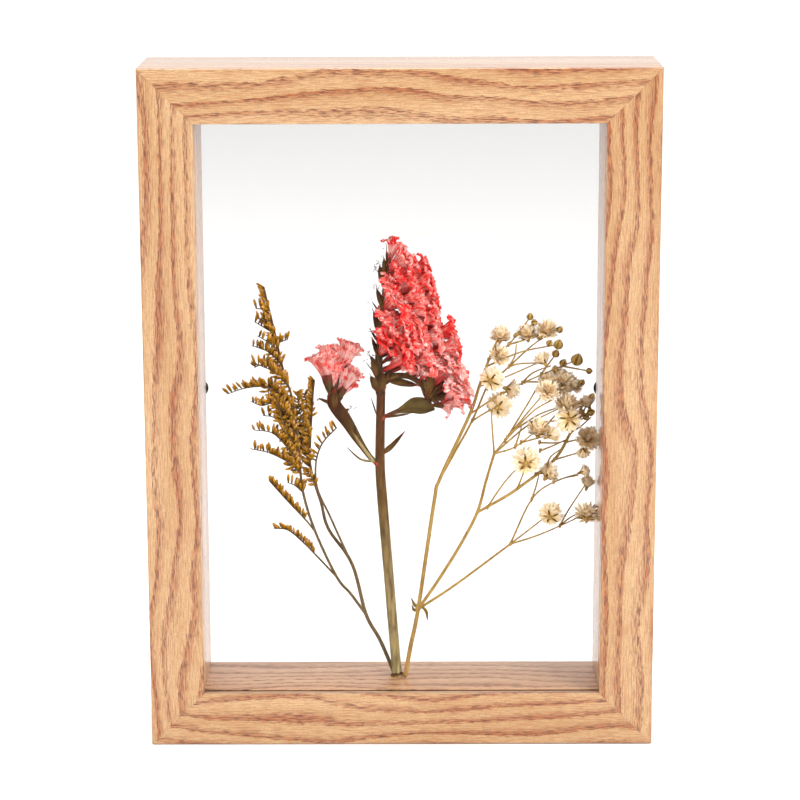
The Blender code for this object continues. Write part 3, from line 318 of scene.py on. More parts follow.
# Turn buttons: two flat stamped steel buttons on the back rails that hold the back pane in, black e-coated,
# each turning about its own pan-head screw. The right one stands a few degrees off level.
BUTTON_FRONT = 37.2
BUTTON_THICKNESS = 1.0
BUTTON_REACH = 11.0
BUTTON_TIP_RADIUS = 2.9
BUTTON_TAIL = 4.6
BUTTON_TAIL_HALF = 3.6
BUTTON_HOLE = 1.3
BUTTON_EDGE = 0.22
SCREW_HEAD_RADIUS = 2.2
SCREW_HEAD_FRONT = 38.4
SCREW_HEAD_TOP = 39.0
SCREW_SHANK = 1.0
SCREW_TIP = 28.0
RECESS_HALF = 0.28
RECESS_REACH = 1.15
RECESS_DEPTH = 0.5
HEAD_TOP_ROW = 9
ROUND_STEPS = 64
BUTTONS = {"left": (-73.5, 109.0, 1.0, 0.0), "right": (73.418, 107.7, -1.0, math.radians(7.0))}

black_steel, black_shader = surface("black_coated_steel", Roughness=0.38, Metallic=0.35)
speckle_place = add_node(black_steel, "TexCoord").outputs["Object"]
speckle = add_node(black_steel, "TexNoise", {"Vector": speckle_place, "Scale": 3500.0, "Detail": 2.0})
coat = add_node(black_steel, "ValToRGB", {"Fac": speckle}, stops=[(0.35, "#121214"), (0.7, "#26262A")])
orange_peel = add_node(black_steel, "Bump", {"Height": speckle, "Strength": 0.25, "Distance": 0.05 * MM})
feed(black_steel, black_shader, {"Base Color": coat, "Normal": orange_peel})


def button_ring(angle, inset):
    """The button's outline at an angle round its pivot, drawn in by an inset.

    It is the outer edge of a round tip and an oval tail joined by straight sides, found as the farthest of
    the two rounds along each direction.
    """
    tip_centre = BUTTON_REACH - BUTTON_TIP_RADIUS
    facing = np.stack([np.cos(angle), np.sin(angle)], axis=-1)
    tip = facing * (BUTTON_TIP_RADIUS - inset) + [tip_centre, 0.0]
    tail_axes = np.array([BUTTON_TAIL - inset, BUTTON_TAIL_HALF - inset])
    reach = np.linalg.norm(facing * tail_axes, axis=-1, keepdims=True)
    tail = facing * tail_axes ** 2 / reach
    farther = np.sum(tip * facing, axis=-1) > np.sum(tail * facing, axis=-1)
    return np.where(farther[:, None], tip, tail)


def turn_button(side):
    """A stamped button: sections round its edge and its hole, at angles round the pivot."""
    pivot_x, pivot_z, direction, tilt = BUTTONS[side]
    angle = np.linspace(0, 2 * np.pi, ROUND_STEPS, endpoint=False)
    back = BUTTON_FRONT + BUTTON_THICKNESS
    circle = BUTTON_HOLE * np.stack([np.cos(angle), np.sin(angle)], axis=-1)
    eased = [(BUTTON_EDGE, 0.0), (0.3 * BUTTON_EDGE, 0.3 * BUTTON_EDGE), (0.0, BUTTON_EDGE)]
    sections = [(button_ring(angle, inset), BUTTON_FRONT + step) for inset, step in eased]
    sections += [(button_ring(angle, inset), back - step) for inset, step in reversed(eased)]
    sections += [(circle, back), (circle, BUTTON_FRONT)]
    rings = []
    for ring, depth in sections:
        x = pivot_x + direction * (ring[:, 0] * math.cos(tilt) - ring[:, 1] * math.sin(tilt))
        z = pivot_z + ring[:, 0] * math.sin(tilt) + ring[:, 1] * math.cos(tilt)
        rings.append(np.stack([x, np.full(len(x), depth), z], axis=-1))
    points = np.array(rings)
    quads, spots = weave(len(points) + 1, len(angle), wrap=True)
    quads %= points.shape[0] * points.shape[1]
    if direction > 0:
        quads = quads[:, ::-1]
    name = "turn_button_" + side
    show("steel_" + name, points, quads.tolist(), spots.reshape(-1, 2) * MM, black_steel, name,
         body=name)


def screw(side):
    """A pan-head screw: rings round its axis whose depth dips inside a cross, which makes the recess."""
    pivot_x, pivot_z, _, _ = BUTTONS[side]
    angle = np.linspace(0, 2 * np.pi, ROUND_STEPS, endpoint=False)
    radius = np.array([0.001, 0.15, SCREW_SHANK, SCREW_SHANK, SCREW_HEAD_RADIUS - 0.1, SCREW_HEAD_RADIUS,
                       SCREW_HEAD_RADIUS, 2.05, 1.75, 1.4, 1.2, 1.1, 1.0, 0.85, 0.7, 0.5, 0.4, 0.3, 0.2, 0.1,
                       0.001])
    depth = np.array([SCREW_TIP, SCREW_TIP, SCREW_TIP + 1.5, SCREW_HEAD_FRONT, SCREW_HEAD_FRONT,
                      SCREW_HEAD_FRONT + 0.05, SCREW_HEAD_FRONT + 0.2, SCREW_HEAD_TOP - 0.2,
                      SCREW_HEAD_TOP - 0.08] + [SCREW_HEAD_TOP - 0.03] * 2 + [SCREW_HEAD_TOP] * 10)
    x = radius[:, None] * np.cos(angle)
    z = radius[:, None] * np.sin(angle)
    arm = np.minimum(np.abs(x), np.abs(z))
    reach = np.maximum(np.abs(x), np.abs(z))
    in_cross = np.clip((RECESS_HALF - arm) / 0.08, 0, 1) * np.clip((RECESS_REACH - reach) / 0.25, 0, 1)
    on_head = (np.arange(len(radius)) >= HEAD_TOP_ROW)[:, None]
    y = depth[:, None] - RECESS_DEPTH * in_cross * on_head
    points = np.stack([pivot_x + x, y, pivot_z + z], axis=-1)
    quads, spots = weave(len(radius), len(angle), wrap=True)
    name = "screw_" + side
    show("steel_" + name, points, quads[:, ::-1].tolist(), spots.reshape(-1, 2) * MM, black_steel, name)


for side in BUTTONS:
    turn_button(side)
    screw(side)

# Statice: a stout ribbed stem, olive at the foot and brown above, with one winged side branch, a thin folded
# leaf and small pointed bracts. It was cut, dried and stands glued by its foot to the lower strip.
PLANT_PLANE = 18.5

# A stem's rounded end stands out by this share of its radius, and narrows to this share
END_REACH = 0.4
END_WIDTH = 0.6


def smooth_route(points, steps):
    """A Catmull-Rom curve through the points, with so many steps between each two, worked out all at once."""
    route = np.array(points, float)
    padded = np.vstack([2 * route[0] - route[1], route, 2 * route[-1] - route[-2]])
    a, b, c, d = (padded[k:len(route) - 1 + k, None] for k in range(4))
    t = (np.arange(steps) / steps)[None, :, None]
    curve = 2 * b + (c - a) * t + (2 * a - 5 * b + 4 * c - d) * t ** 2 + (3 * b - a - 3 * c + d) * t ** 3
    return np.vstack([curve.reshape(-1, 3) / 2, route[-1:]])


def unit(vectors):
    """The vectors at length one."""
    return vectors / np.maximum(np.linalg.norm(vectors, axis=-1, keepdims=True), 1e-9)


def columns(table):
    """The columns of a table, each as an array."""
    return [np.array(column, float) for column in zip(*table)]


def stem(route, radii, sides=8, steps=6, flat=1.0, fold=0.0, ribs=0, rib=0.0):
    """A stem or blade: a ring carried along a smooth route.

    The ring is side r cos(a) (1 + rib cos(ribs a)) + back r (flat sin(a) + fold cos(a)^2), where side is
    square to the route in the plane of the frame; r eases between the given radii, and both ends are rounded.
    """
    line = smooth_route(route, steps)
    share = np.linspace(0, 1, len(line))
    radius = np.interp(share, np.linspace(0, 1, len(radii)), radii)
    ahead = unit(np.gradient(line, axis=0))
    first = line[:1] - ahead[:1] * radius[0] * END_REACH
    last = line[-1:] + ahead[-1:] * radius[-1] * END_REACH
    line = np.vstack([first, line, last])
    radius = np.concatenate([[radius[0] * END_WIDTH], radius, [radius[-1] * END_WIDTH]])
    ahead = np.vstack([ahead[:1], ahead, ahead[-1:]])
    side = unit(np.cross([0.0, 1.0, 0.0], ahead))
    back = np.cross(ahead, side)
    angle = 2 * np.pi * np.arange(sides) / sides
    wave = 1 + rib * np.cos(ribs * angle)
    across = (np.cos(angle) * wave)[None, :, None] * side[:, None]
    through = (flat * np.sin(angle) * wave + fold * np.cos(angle) ** 2)[None, :, None] * back[:, None]
    return (line[:, None] + radius[:, None, None] * (across + through))[None]


def sprouts(bases, tips, outline, widths, sides=6, flat=1.0, facing=None, bend=0.0, seed=0):
    """Many small shapes of one outline (share of the length, half width), each from its base to its tip.

    A ring is base + way L s + side w cos(a) + thin w flat sin(a) + thin bend L s^2; thin is the direction
    that the flat side faces, or any direction where none is given.
    """
    bases, tips, outline = np.array(bases, float), np.array(tips, float), np.array(outline)
    way = tips - bases
    length = np.linalg.norm(way, axis=1)[:, None, None, None]
    way = unit(way)
    if facing is None:
        facing = np.random.default_rng(seed).normal(size=way.shape)
    side = unit(np.cross(facing, way))[:, None, None]
    thin = np.cross(way, side[:, 0, 0])[:, None, None]
    share = outline[:, 0][None, :, None, None]
    half = outline[:, 1][None, :, None, None] * np.broadcast_to(widths, len(bases))[:, None, None, None]
    angle = (2 * np.pi * np.arange(sides) / sides)[None, None, :, None]
    straight = bases[:, None, None] + way[:, None, None] * length * share
    ring = half * (side * np.cos(angle) + thin * flat * np.sin(angle))
    return straight + ring + thin * bend * length * share ** 2


def grow(name, shapes, node, seed=0):
    """Puts a plant's shapes into one piece that stands for its CAD node.

    Each entry is (finish, points), or (finish, points, "open") for an open mouth: points hold so many like
    shapes x rows x sides, every shape wraps round, and its two ends are closed unless its mouth is open.
    """
    finishes, all_points, faces, uvs, chances, kinds = [], [], [], [], [], []
    random = np.random.default_rng(seed)
    offset = 0
    for finish, points, *mouth in shapes:
        count, rows, sides, _ = points.shape
        quads, spots = weave(rows, sides, wrap=True)
        i = np.arange(sides // 2 - 1)
        cap = np.stack([i, i + 1, sides - 2 - i, sides - 1 - i], axis=-1)
        ends = [(cap[:, ::-1], 0)] + ([] if mouth else [(cap, rows - 1)])
        for end, row in ends:
            quads = np.vstack([quads, end + row * sides])
            spots = np.vstack([spots, np.stack([np.full(end.shape, row), end], axis=-1)])
        faces.append((quads[None] + (np.arange(count) * rows * sides)[:, None, None]).reshape(-1, 4) + offset)
        uvs.append(np.tile(spots / [rows - 1, sides], (count, 1, 1)).reshape(-1, 2))
        chances.append(np.repeat(random.random(count), rows * sides))
        if finish not in finishes:
            finishes.append(finish)
        kinds.append(np.full(count * len(quads), finishes.index(finish)))
        all_points.append(points.reshape(-1, 3))
        offset += count * rows * sides
    points = np.vstack(all_points) + [0.0, PLANT_PLANE, 0.0]
    piece = show(name, points, np.vstack(faces).tolist(), np.vstack(uvs), finishes[0], node,
                 chance=np.concatenate(chances), sharp=80)
    for finish in finishes[1:]:
        piece.data.materials.append(finish)
    piece.data.polygons.foreach_set("material_index", np.concatenate(kinds).astype(np.int32))


def plant_finish(name, along, streak, roughness, streak_share=0.35, grain=(900.0, 900.0, 160.0), bump=0.05,
                 stripes=0):
    """A dry plant surface: its colour goes through the given tones from foot to tip, with darker fibres.

    The fibres are noise stretched upwards, about 1 mm wide and 6 mm long unless another grain is given.
    Stripes is the number of dark sepals that run up a bud.
    """
    finish, shader = surface(name, Roughness=roughness, Specular_IOR_Level=0.1)
    uv = add_node(finish, "UVMap", uv_map="along_and_round")
    split = add_node(finish, "SeparateXYZ", {"Vector": uv})
    chance = add_node(finish, "Attribute", attribute_name="chance").outputs["Fac"]
    spread = add_node(finish, "MapRange", {0: chance, 3: -0.18, 4: 0.18})
    moved = add_node(finish, "Math", {0: split.outputs["X"], 1: spread}, operation="ADD", use_clamp=True)
    tone = add_node(finish, "ValToRGB", {"Fac": moved}, stops=along)
    place = add_node(finish, "TexCoord").outputs["Object"]
    stretched = add_node(finish, "Mapping", {"Vector": place, "Scale": grain})
    fibre = add_node(finish, "TexNoise", {"Vector": stretched, "Scale": 1.0, "Detail": 3.0})
    amount = add_node(finish, "MapRange", {0: fibre, 1: 0.42, 2: 0.66, 4: streak_share})
    if stripes:
        turns = 2 * math.pi * stripes
        turn = add_node(finish, "Math", {0: split.outputs["Y"], 1: turns}, operation="MULTIPLY")
        round_it = add_node(finish, "Math", {0: turn}, operation="SINE")
        sepal = add_node(finish, "MapRange", {0: round_it, 2: 0.7, 4: 0.85})
        amount = add_node(finish, "Math", {0: amount, 1: sepal}, operation="MAXIMUM")
    mixed = add_node(finish, "MixRGB", {"Fac": amount, "Color1": tone, "Color2": colour(streak)})
    relief = add_node(finish, "Bump", {"Height": fibre, "Strength": 0.6, "Distance": bump * MM})
    feed(finish, shader, {"Base Color": mixed, "Normal": relief})
    return finish


stem_rind = plant_finish(
    "statice_stem_rind",
    [(0.0, "#7C8672"), (0.03, "#A49A68"), (0.3, "#9A845A"), (0.62, "#6E5028"), (0.85, "#5E3A1E"),
     (1.0, "#582C1A")],
    "#261808", 0.65, streak_share=0.65,
)
bract_skin = plant_finish(
    "statice_bracts", [(0.0, "#6E3820"), (0.45, "#5E4420"), (0.85, "#442610"), (1.0, "#7A2A1C")],
    "#1E1006", 0.7, streak_share=0.6,
)
leaf_skin = plant_finish(
    "statice_leaf_skin", [(0.0, "#6B4030"), (0.3, "#5E4C26"), (0.7, "#564420"), (1.0, "#3E2C14")],
    "#2A1E0C", 0.7, streak_share=0.6, grain=(500.0, 900.0, 500.0),
)
node_skin = plant_finish(
    "statice_red_nodes", [(0.0, "#8A3A28"), (0.5, "#A84A38"), (1.0, "#8C3A2A")], "#5A2014", 0.7
)

STATICE_STEM = [
    (-1.5, 0.0, 17.5), (-2.1, 0.0, 24.0), (-4.3, 0.0, 53.0), (-6.1, 0.0, 76.0), (-6.8, 0.0, 89.2),
    (-6.4, 0.0, 111.2),
]
FOOT_GLUE = [(-1.4, 0.0, 17.2), (-1.5, 0.0, 17.6), (-1.6, 0.0, 18.3)]
SCALE = [(0.0, 0.35), (0.2, 0.8), (0.45, 1.0), (0.75, 0.7), (1.0, 0.05)]
SPINE = [(0.0, 1.0), (0.5, 0.6), (1.0, 0.1)]

# Bracts: foot, tip and half width
STEM_BRACTS = [
    ((-5.6, -0.4, 103.4), (3.2, -0.6, 104.7), 0.45), ((-7.4, 0.2, 103.0), (-9.6, -0.4, 110.4), 0.4),
    ((-6.6, -1.0, 102.6), (-5.2, -1.4, 106.0), 0.7), ((-7.2, 0.6, 87.4), (-9.0, 1.0, 90.6), 0.6),
    ((-6.4, -1.0, 87.0), (-5.6, -1.8, 89.4), 0.6),
]
STEM_NODES = np.array([(-7.9, -0.5, 87.4), (-5.9, -0.6, 102.4), (-5.7, -0.8, 112.4)])
AXIL_BRACT = [(-6.4, 0.0, 91.0), (-2.8, -0.6, 94.2), (1.3, -0.8, 99.0)]
feet, points_of, half = columns(STEM_BRACTS)
grow("statice_main_stem", [
    (stem_rind, stem(STATICE_STEM, (1.55, 1.5, 1.55, 1.6, 1.5, 1.35), sides=16, steps=10, ribs=5, rib=0.09)),
    (stem_rind, stem(FOOT_GLUE, (2.3, 2.1, 1.6), sides=16)),
    (node_skin, sprouts(STEM_NODES, STEM_NODES + [0.5, 0.0, 2.2], SCALE, 1.0, sides=8, seed=14)),
    (bract_skin, sprouts(feet, points_of, SCALE, half, sides=8, flat=0.4, seed=3)),
    (bract_skin, stem(AXIL_BRACT, (0.4, 0.95, 0.7, 0.12), sides=10, flat=0.3, fold=0.5)),
], "statice_stem", seed=1)

LEAF_BLADE = [
    (-5.0, -0.4, 103.9), (-2.4, -0.7, 105.0), (1.2, -1.0, 106.2), (4.6, -1.3, 107.3), (8.0, -1.4, 107.0),
    (10.6, -1.2, 106.2),
]
LEAF_VEIN = [(-4.9, -0.7, 103.8), (2.0, -1.5, 106.6), (8.0, -1.9, 106.2)]
grow("statice_folded_leaf", [
    (leaf_skin, stem(LEAF_BLADE, (0.5, 0.6, 0.8, 1.8, 2.7, 2.8, 2.1, 0.5), sides=12, flat=0.12, fold=0.35)),
    (bract_skin, stem(LEAF_VEIN, (0.25, 0.2, 0.1), sides=6)),
], "statice_leaf", seed=2)

# Statice flowers: papery funnels, pleated and crumpled, coral with near-white lobes and red veins and rims.
# They keep their colour when dry. Each opens from a bristly brown bract; they crowd one side of the stalk.
STATICE_RACHIS = [
    (-6.4, 0.0, 111.0), (-7.0, 0.0, 120.0), (-6.4, 0.3, 130.0), (-5.2, 0.2, 142.0), (-4.4, 0.0, 150.0),
    (-3.2, 0.0, 155.0),
]
STATICE_LOW_RACHIS = [(-6.5, 0.0, 114.0), (-1.0, -0.5, 117.0), (5.0, -0.5, 115.5), (12.0, -0.5, 107.5)]
STATICE_SIDE = [
    (-7.0, 0.0, 87.6), (-9.6, 0.0, 90.0), (-13.4, 0.0, 95.5), (-17.4, -0.5, 102.3), (-21.0, -0.8, 107.5),
    (-22.2, -0.8, 111.0),
]

# Flowers of the head, of its low side and of the side branch: middle of the mouth and radius
HEAD_FLOWERS = np.array([
    (-1.4, 0.0, 160.0, 3.0), (2.6, -2.0, 156.4, 3.4), (9.2, 1.0, 152.0, 3.2), (1.8, -4.0, 150.6, 3.6),
    (5.8, -1.0, 153.8, 3.4), (6.2, -3.4, 148.2, 3.6), (-1.6, -3.0, 147.8, 3.2), (8.6, -5.6, 139.8, 3.8),
    (0.8, -7.0, 133.4, 4.0), (8.8, -7.4, 131.0, 4.0), (10.4, -2.4, 148.6, 3.8), (-0.6, -5.4, 143.4, 4.0),
    (7.2, -6.0, 143.8, 3.8), (12.4, -0.6, 142.6, 3.6), (-2.8, -6.0, 136.6, 3.6), (4.4, -7.4, 137.0, 4.0),
    (12.2, -3.2, 136.4, 4.0), (-3.4, -5.2, 129.6, 4.2), (4.2, -8.0, 130.2, 4.6), (3.0, -5.6, 124.6, 4.2),
    (13.6, -4.0, 130.6, 4.2), (18.0, -1.4, 132.2, 3.4), (19.0, -2.2, 126.8, 4.2), (10.4, -6.0, 124.6, 4.4),
    (4.2, 5.0, 152.4, 3.4), (0.2, 5.2, 145.0, 3.6), (8.6, 6.4, 145.6, 3.8), (-2.0, 6.4, 135.6, 3.8),
    (6.2, 7.6, 137.4, 4.2), (13.0, 4.6, 133.0, 4.0), (-1.2, 7.0, 128.2, 4.0), (7.2, 7.4, 128.4, 4.6),
    (14.8, 4.6, 125.8, 4.2),
])
LOW_FLOWERS = np.array([
    (18.6, -3.8, 121.2, 4.6), (20.0, -2.6, 114.8, 4.5), (20.2, -1.6, 108.2, 3.6), (18.0, 3.6, 119.6, 4.4),
    (19.6, 3.2, 112.2, 4.2), (7.6, -4.4, 121.8, 3.8), (13.2, -3.6, 122.6, 4.2),
])
SIDE_FLOWERS = np.array([
    (-26.4, -0.6, 124.2, 3.4), (-23.4, 1.4, 127.0, 2.8), (-20.6, -2.2, 123.6, 3.8), (-16.8, 0.8, 125.8, 3.6),
    (-15.6, -1.2, 119.8, 3.6), (-16.8, 0.6, 116.2, 2.8),
])
FUNNEL_ROWS = 10
FUNNEL_SIDES = 54

# Rims are wider than the radii above by this factor, because each flower is pressed narrower. The petals
# inside a flower are this share of its width.
STATICE_OPENING = 1.3
INNER_SHARE = 0.7

# Share of the light that passes through the paper
PAPER_PASSES = 0.22


def funnels(feet, mouths, radii, seed, open_by=1.0, curl=0.5):
    """Papery flowers: a funnel from foot to mouth with pleats that grow towards a ragged rim.

    Each is pressed to 0.45 to 0.8 of its width. Radius = R (0.2 + 0.3 s + 0.55 s^2) (1 + pleats), and the
    height = L ((1 + 0.74 curl) s - curl s^4) + R s^2 waves - 0.5 curl R s^4 cos(a)^2, so the rim rolls over
    and droops at its sides; pleats and waves are cosines with 4 or 6, about 11 and 21 lobes round the rim,
    with chance phases for each flower.
    """
    random = np.random.default_rng(seed)
    count = len(feet)
    way = mouths - feet
    length = np.linalg.norm(way, axis=1)[:, None, None]
    way = unit(way)
    side = unit(np.cross([0.0, 1.0, 0.0] + 0.45 * random.normal(size=way.shape), way))
    up = np.cross(way, side) * random.uniform(0.45, 0.8, (count, 1))
    s = np.linspace(0, 1, FUNNEL_ROWS)[None, :, None]
    a = (2 * np.pi * np.arange(FUNNEL_SIDES) / FUNNEL_SIDES)[None, None, :]
    lobes = random.choice([4, 6], (count, 1, 1))
    phase = random.uniform(0, 2 * np.pi, (6, count, 1, 1))
    pleats = 0.2 * np.abs(np.cos(lobes * a / 2 + phase[0])) + 0.07 * np.cos((2 * lobes + 1) * a + phase[1])
    pleats = s ** 1.5 * (pleats - 0.1 + 0.06 * np.cos(21 * a + phase[2] + 2 * np.sin(3 * a) + 2 * s))
    radius = radii[:, None, None] * (0.2 + 0.3 * s + 0.55 * open_by * s ** 2) * (1 + pleats)
    waves = 0.07 * np.cos(lobes * a + phase[3]) + 0.06 * np.cos((2 * lobes + 3) * a + phase[4])
    waves = waves + 0.06 * np.cos(17 * a + phase[5] + 2 * np.sin(2 * a))
    rim = s ** 8 * random.uniform(-0.025, 0.025, (count, 1, FUNNEL_SIDES))
    rise = (1 + 0.74 * curl) * s - curl * s ** 4
    droop = 0.5 * curl * s ** 4 * np.cos(a) ** 2
    height = length * (rise + rim) + radii[:, None, None] * (s ** 2 * waves - droop)
    crumple = s * random.normal(0, 0.03, (count, FUNNEL_ROWS, FUNNEL_SIDES)) * radii[:, None, None]
    out = side[:, None, None] * np.cos(a)[..., None] + up[:, None, None] * np.sin(a)[..., None]
    return feet[:, None, None] + way[:, None, None] * height[..., None] + out * (radius + crumple)[..., None]


def flower_bunch(flowers, rachis, lift, length, extra, seed):
    """Roots on the stalk, feet, mouths and radii of a bunch.

    It holds the given flowers and some smaller ones beside each of them.
    """
    random = np.random.default_rng(seed)
    line = smooth_route(rachis, 8)
    more = np.repeat(flowers, extra, axis=0)
    more[:, :3] += random.normal(0, 1.7, (len(more), 3)) - [0.4, 0.0, 0.8]
    more[:, 3] *= random.uniform(0.55, 0.85, len(more))
    everything = np.vstack([flowers, more])
    mouths = everything[:, :3] + [0.0, 0.0, 0.6]
    lower = mouths[:, None] - [0.0, 0.0, lift] - line[None]
    roots = line[np.argmin(np.linalg.norm(lower, axis=2), axis=1)]
    way = mouths - roots
    distance = np.linalg.norm(way, axis=1)
    feet = mouths - unit(way) * np.minimum(length, distance)[:, None]
    return roots, feet, mouths, STATICE_OPENING * everything[:, 3]


def blooms(skin, feet, mouths, radii, seed, curl=0.5):
    """Open flowers: a funnel for each, and a narrower one inside it."""
    inner = funnels(feet, mouths, radii * INNER_SHARE, seed + 1, open_by=INNER_SHARE, curl=curl)
    return [(skin, funnels(feet, mouths, radii, seed, curl=curl), "open"), (skin, inner, "open")]


def paper_finish(name, redness):
    """Dried statice paper: coral between near-white lobes and red, redder along veins and at the rim.

    Streaks run up the funnel, about 0.5 mm wide, between blotches of 2 mm; both set how pale it is. Veins are
    22 fine stripes. Near the foot, deep inside the funnel, painted shade darkens it towards deep red.
    About a fifth of the light passes through the paper.
    """
    finish, shader = surface(
        name, Roughness=0.7, Subsurface_Weight=0.35, Subsurface_Scale=MM, Subsurface_Radius=(1.0, 0.4, 0.4),
        Specular_IOR_Level=0.08,
    )
    uv = add_node(finish, "UVMap", uv_map="along_and_round")
    split = add_node(finish, "SeparateXYZ", {"Vector": uv})
    place = add_node(finish, "TexCoord").outputs["Object"]
    blotch = add_node(finish, "TexNoise", {"Vector": place, "Scale": 500.0, "Detail": 2.0, "Roughness": 0.5})
    chance = add_node(finish, "Attribute", attribute_name="chance").outputs["Fac"]
    own = add_node(finish, "MapRange", {0: chance, 3: redness - 0.06, 4: redness + 0.06})
    lot = add_node(finish, "CombineXYZ", {"Z": chance})
    strip = add_node(finish, "Mapping", {"Vector": uv, "Scale": (2.6, 44.0, 1.0)})
    apart = add_node(finish, "VectorMath", {0: lot, 1: (0.0, 0.0, 90.0)}, operation="MULTIPLY")
    where = add_node(finish, "VectorMath", {0: strip, 1: apart}, operation="ADD")
    streak = add_node(finish, "TexNoise", {"Vector": where, "Scale": 1.0, "Detail": 2.5})
    mean = add_node(finish, "MixRGB", {"Fac": 0.55, "Color1": blotch, "Color2": streak})
    depth = add_node(finish, "Math", {0: mean, 1: own}, operation="ADD")
    body = add_node(finish, "ValToRGB", {"Fac": depth}, stops=[
        (0.38, "#FFD8D0"), (0.44, "#FFB0A6"), (0.5, "#FF7A70"), (0.56, "#FF4640"), (0.64, "#F0181C"),
    ])
    wander = add_node(finish, "TexNoise", {"Vector": place, "Scale": 900.0, "Detail": 1.0})
    veins = {0: split.outputs["Y"], 1: 138.0, 2: wander}
    stripes = add_node(finish, "Math", veins, operation="MULTIPLY_ADD")
    wave = add_node(finish, "Math", {0: stripes}, operation="SINE")
    vein = add_node(finish, "MapRange", {0: wave, 1: 0.55, 4: 0.6})
    rim = add_node(finish, "MapRange", {0: split.outputs["X"], 1: 0.93, 4: 0.6})
    red = add_node(finish, "Math", {0: vein, 1: rim}, operation="MAXIMUM")
    veined = add_node(finish, "MixRGB", {"Fac": red, "Color1": body, "Color2": colour("#E4141F")})
    # Painted shade: near the foot, deep inside each funnel, the colour is mixed towards dark red.
    deep = add_node(finish, "MapRange", {0: split.outputs["X"], 1: 0.1, 2: 0.4, 3: 0.7, 4: 0.0})
    shaded = add_node(finish, "MixRGB", {"Fac": deep, "Color1": veined, "Color2": colour("#C8221E")})
    relief = add_node(finish, "Bump", {"Height": wave, "Strength": 0.5, "Distance": 0.06 * MM})
    feed(finish, shader, {"Base Color": shaded, "Normal": relief})
    through = add_node(finish, "BsdfTranslucent", {"Color": shaded})
    thin = add_node(finish, "MixShader", {0: PAPER_PASSES, 1: shader, 2: through})
    feed(finish, finish.node_tree.nodes["Material Output"], {"Surface": thin})
    return finish


def bristles(points, count, length, seed, lean=(0.0, 0.0, 0.5)):
    """Fine hairs that stand off given points in all directions."""
    random = np.random.default_rng(seed)
    where = np.array(points, float)[random.integers(0, len(points), count)]
    where = where + random.normal(0, 0.5, where.shape)
    way = unit(random.normal(size=where.shape) + lean)
    tips = where + way * (length * random.uniform(0.5, 1.0, count))[:, None]
    return sprouts(where, tips, SPINE, 0.12, sides=4, seed=seed)


paper = paper_finish("statice_paper", 0.0)
pale_paper = paper_finish("statice_paper_pale", -0.085)
calyx_skin = plant_finish(
    "statice_calyx", [(0.0, "#46301E"), (0.4, "#5A4426"), (0.75, "#6A3428"), (1.0, "#8A3830")],
    "#20140C", 0.7,
)
tube_skin = plant_finish(
    "statice_flower_tubes", [(0.0, "#4E3020"), (0.3, "#7E2E26"), (0.6, "#C83A36"), (1.0, "#E4605A")],
    "#5E1A14", 0.7,
)
TUBE = [(0.0, 0.3), (0.35, 0.8), (0.7, 1.0), (1.0, 0.9)]

roots, feet, mouths, radii = flower_bunch(HEAD_FLOWERS, STATICE_RACHIS, 7.0, 8.0, 1, seed=11)
low_roots, low_feet, low_mouths, low_radii = flower_bunch(
    LOW_FLOWERS, STATICE_LOW_RACHIS, 2.0, 6.5, 2, seed=12
)
tube_feet = np.vstack([roots, low_roots])
tube_tips = np.vstack([feet + 0.45 * (mouths - feet), low_feet + 0.45 * (low_mouths - low_feet)])
HEAD_BRACTS = [
    ((-6.4, -0.8, 111.6), (-9.6, -1.8, 117.4), 1.8), ((-6.4, -1.2, 112.0), (-5.8, -2.4, 119.4), 1.7),
    ((-6.8, 0.8, 111.6), (-9.4, 1.4, 116.0), 1.5), ((-6.2, 0.9, 112.0), (-4.0, 2.0, 119.0), 1.6),
    ((-7.0, -0.6, 116.0), (-9.2, -1.4, 123.6), 1.5), ((-6.8, 0.8, 117.0), (-10.2, 1.4, 124.0), 1.0),
    ((-7.4, -0.4, 116.6), (-11.2, -0.8, 121.8), 0.4), ((-6.8, 0.0, 122.6), (-9.2, -0.6, 129.6), 1.3),
    ((-6.6, 0.4, 127.0), (-9.6, 1.0, 131.6), 0.5), ((-6.2, 0.0, 129.5), (-8.6, 0.6, 137.8), 1.2),
    ((-5.8, 0.0, 136.0), (-9.2, 0.0, 141.2), 0.6), ((-5.2, 0.0, 138.0), (-7.6, -0.6, 145.4), 1.1),
    ((-5.0, 0.0, 145.6), (-6.6, -0.2, 152.6), 1.6), ((-4.6, -0.6, 147.0), (-5.2, -1.0, 155.2), 1.3),
    ((-4.8, 0.0, 147.0), (-7.8, 0.4, 151.4), 0.4), ((-3.8, 0.0, 151.0), (-4.4, 0.2, 157.6), 0.8),
    ((-5.2, -1.0, 114.6), (-2.4, -2.6, 121.4), 1.5), ((-5.2, -1.0, 116.2), (1.0, -2.8, 118.2), 1.5),
    ((-4.4, -1.0, 115.8), (5.8, -2.4, 114.2), 1.6), ((1.0, -0.8, 116.8), (6.8, -2.8, 119.4), 1.5),
    ((8.2, -1.0, 109.4), (6.6, -2.4, 117.4), 1.4), ((8.4, -1.2, 109.6), (10.2, -3.0, 119.0), 1.6),
    ((8.8, -1.0, 109.4), (13.8, -2.8, 115.6), 1.6), ((9.2, -0.8, 109.0), (16.4, -1.8, 111.6), 1.5),
    ((9.0, 0.6, 109.4), (12.0, 2.6, 116.6), 1.5), ((9.6, 0.6, 109.0), (15.4, 2.0, 112.8), 1.4),
    ((9.6, -0.6, 107.6), (16.0, -0.8, 106.8), 1.5),
]
bract_feet, bract_tips, bract_half = columns(HEAD_BRACTS)
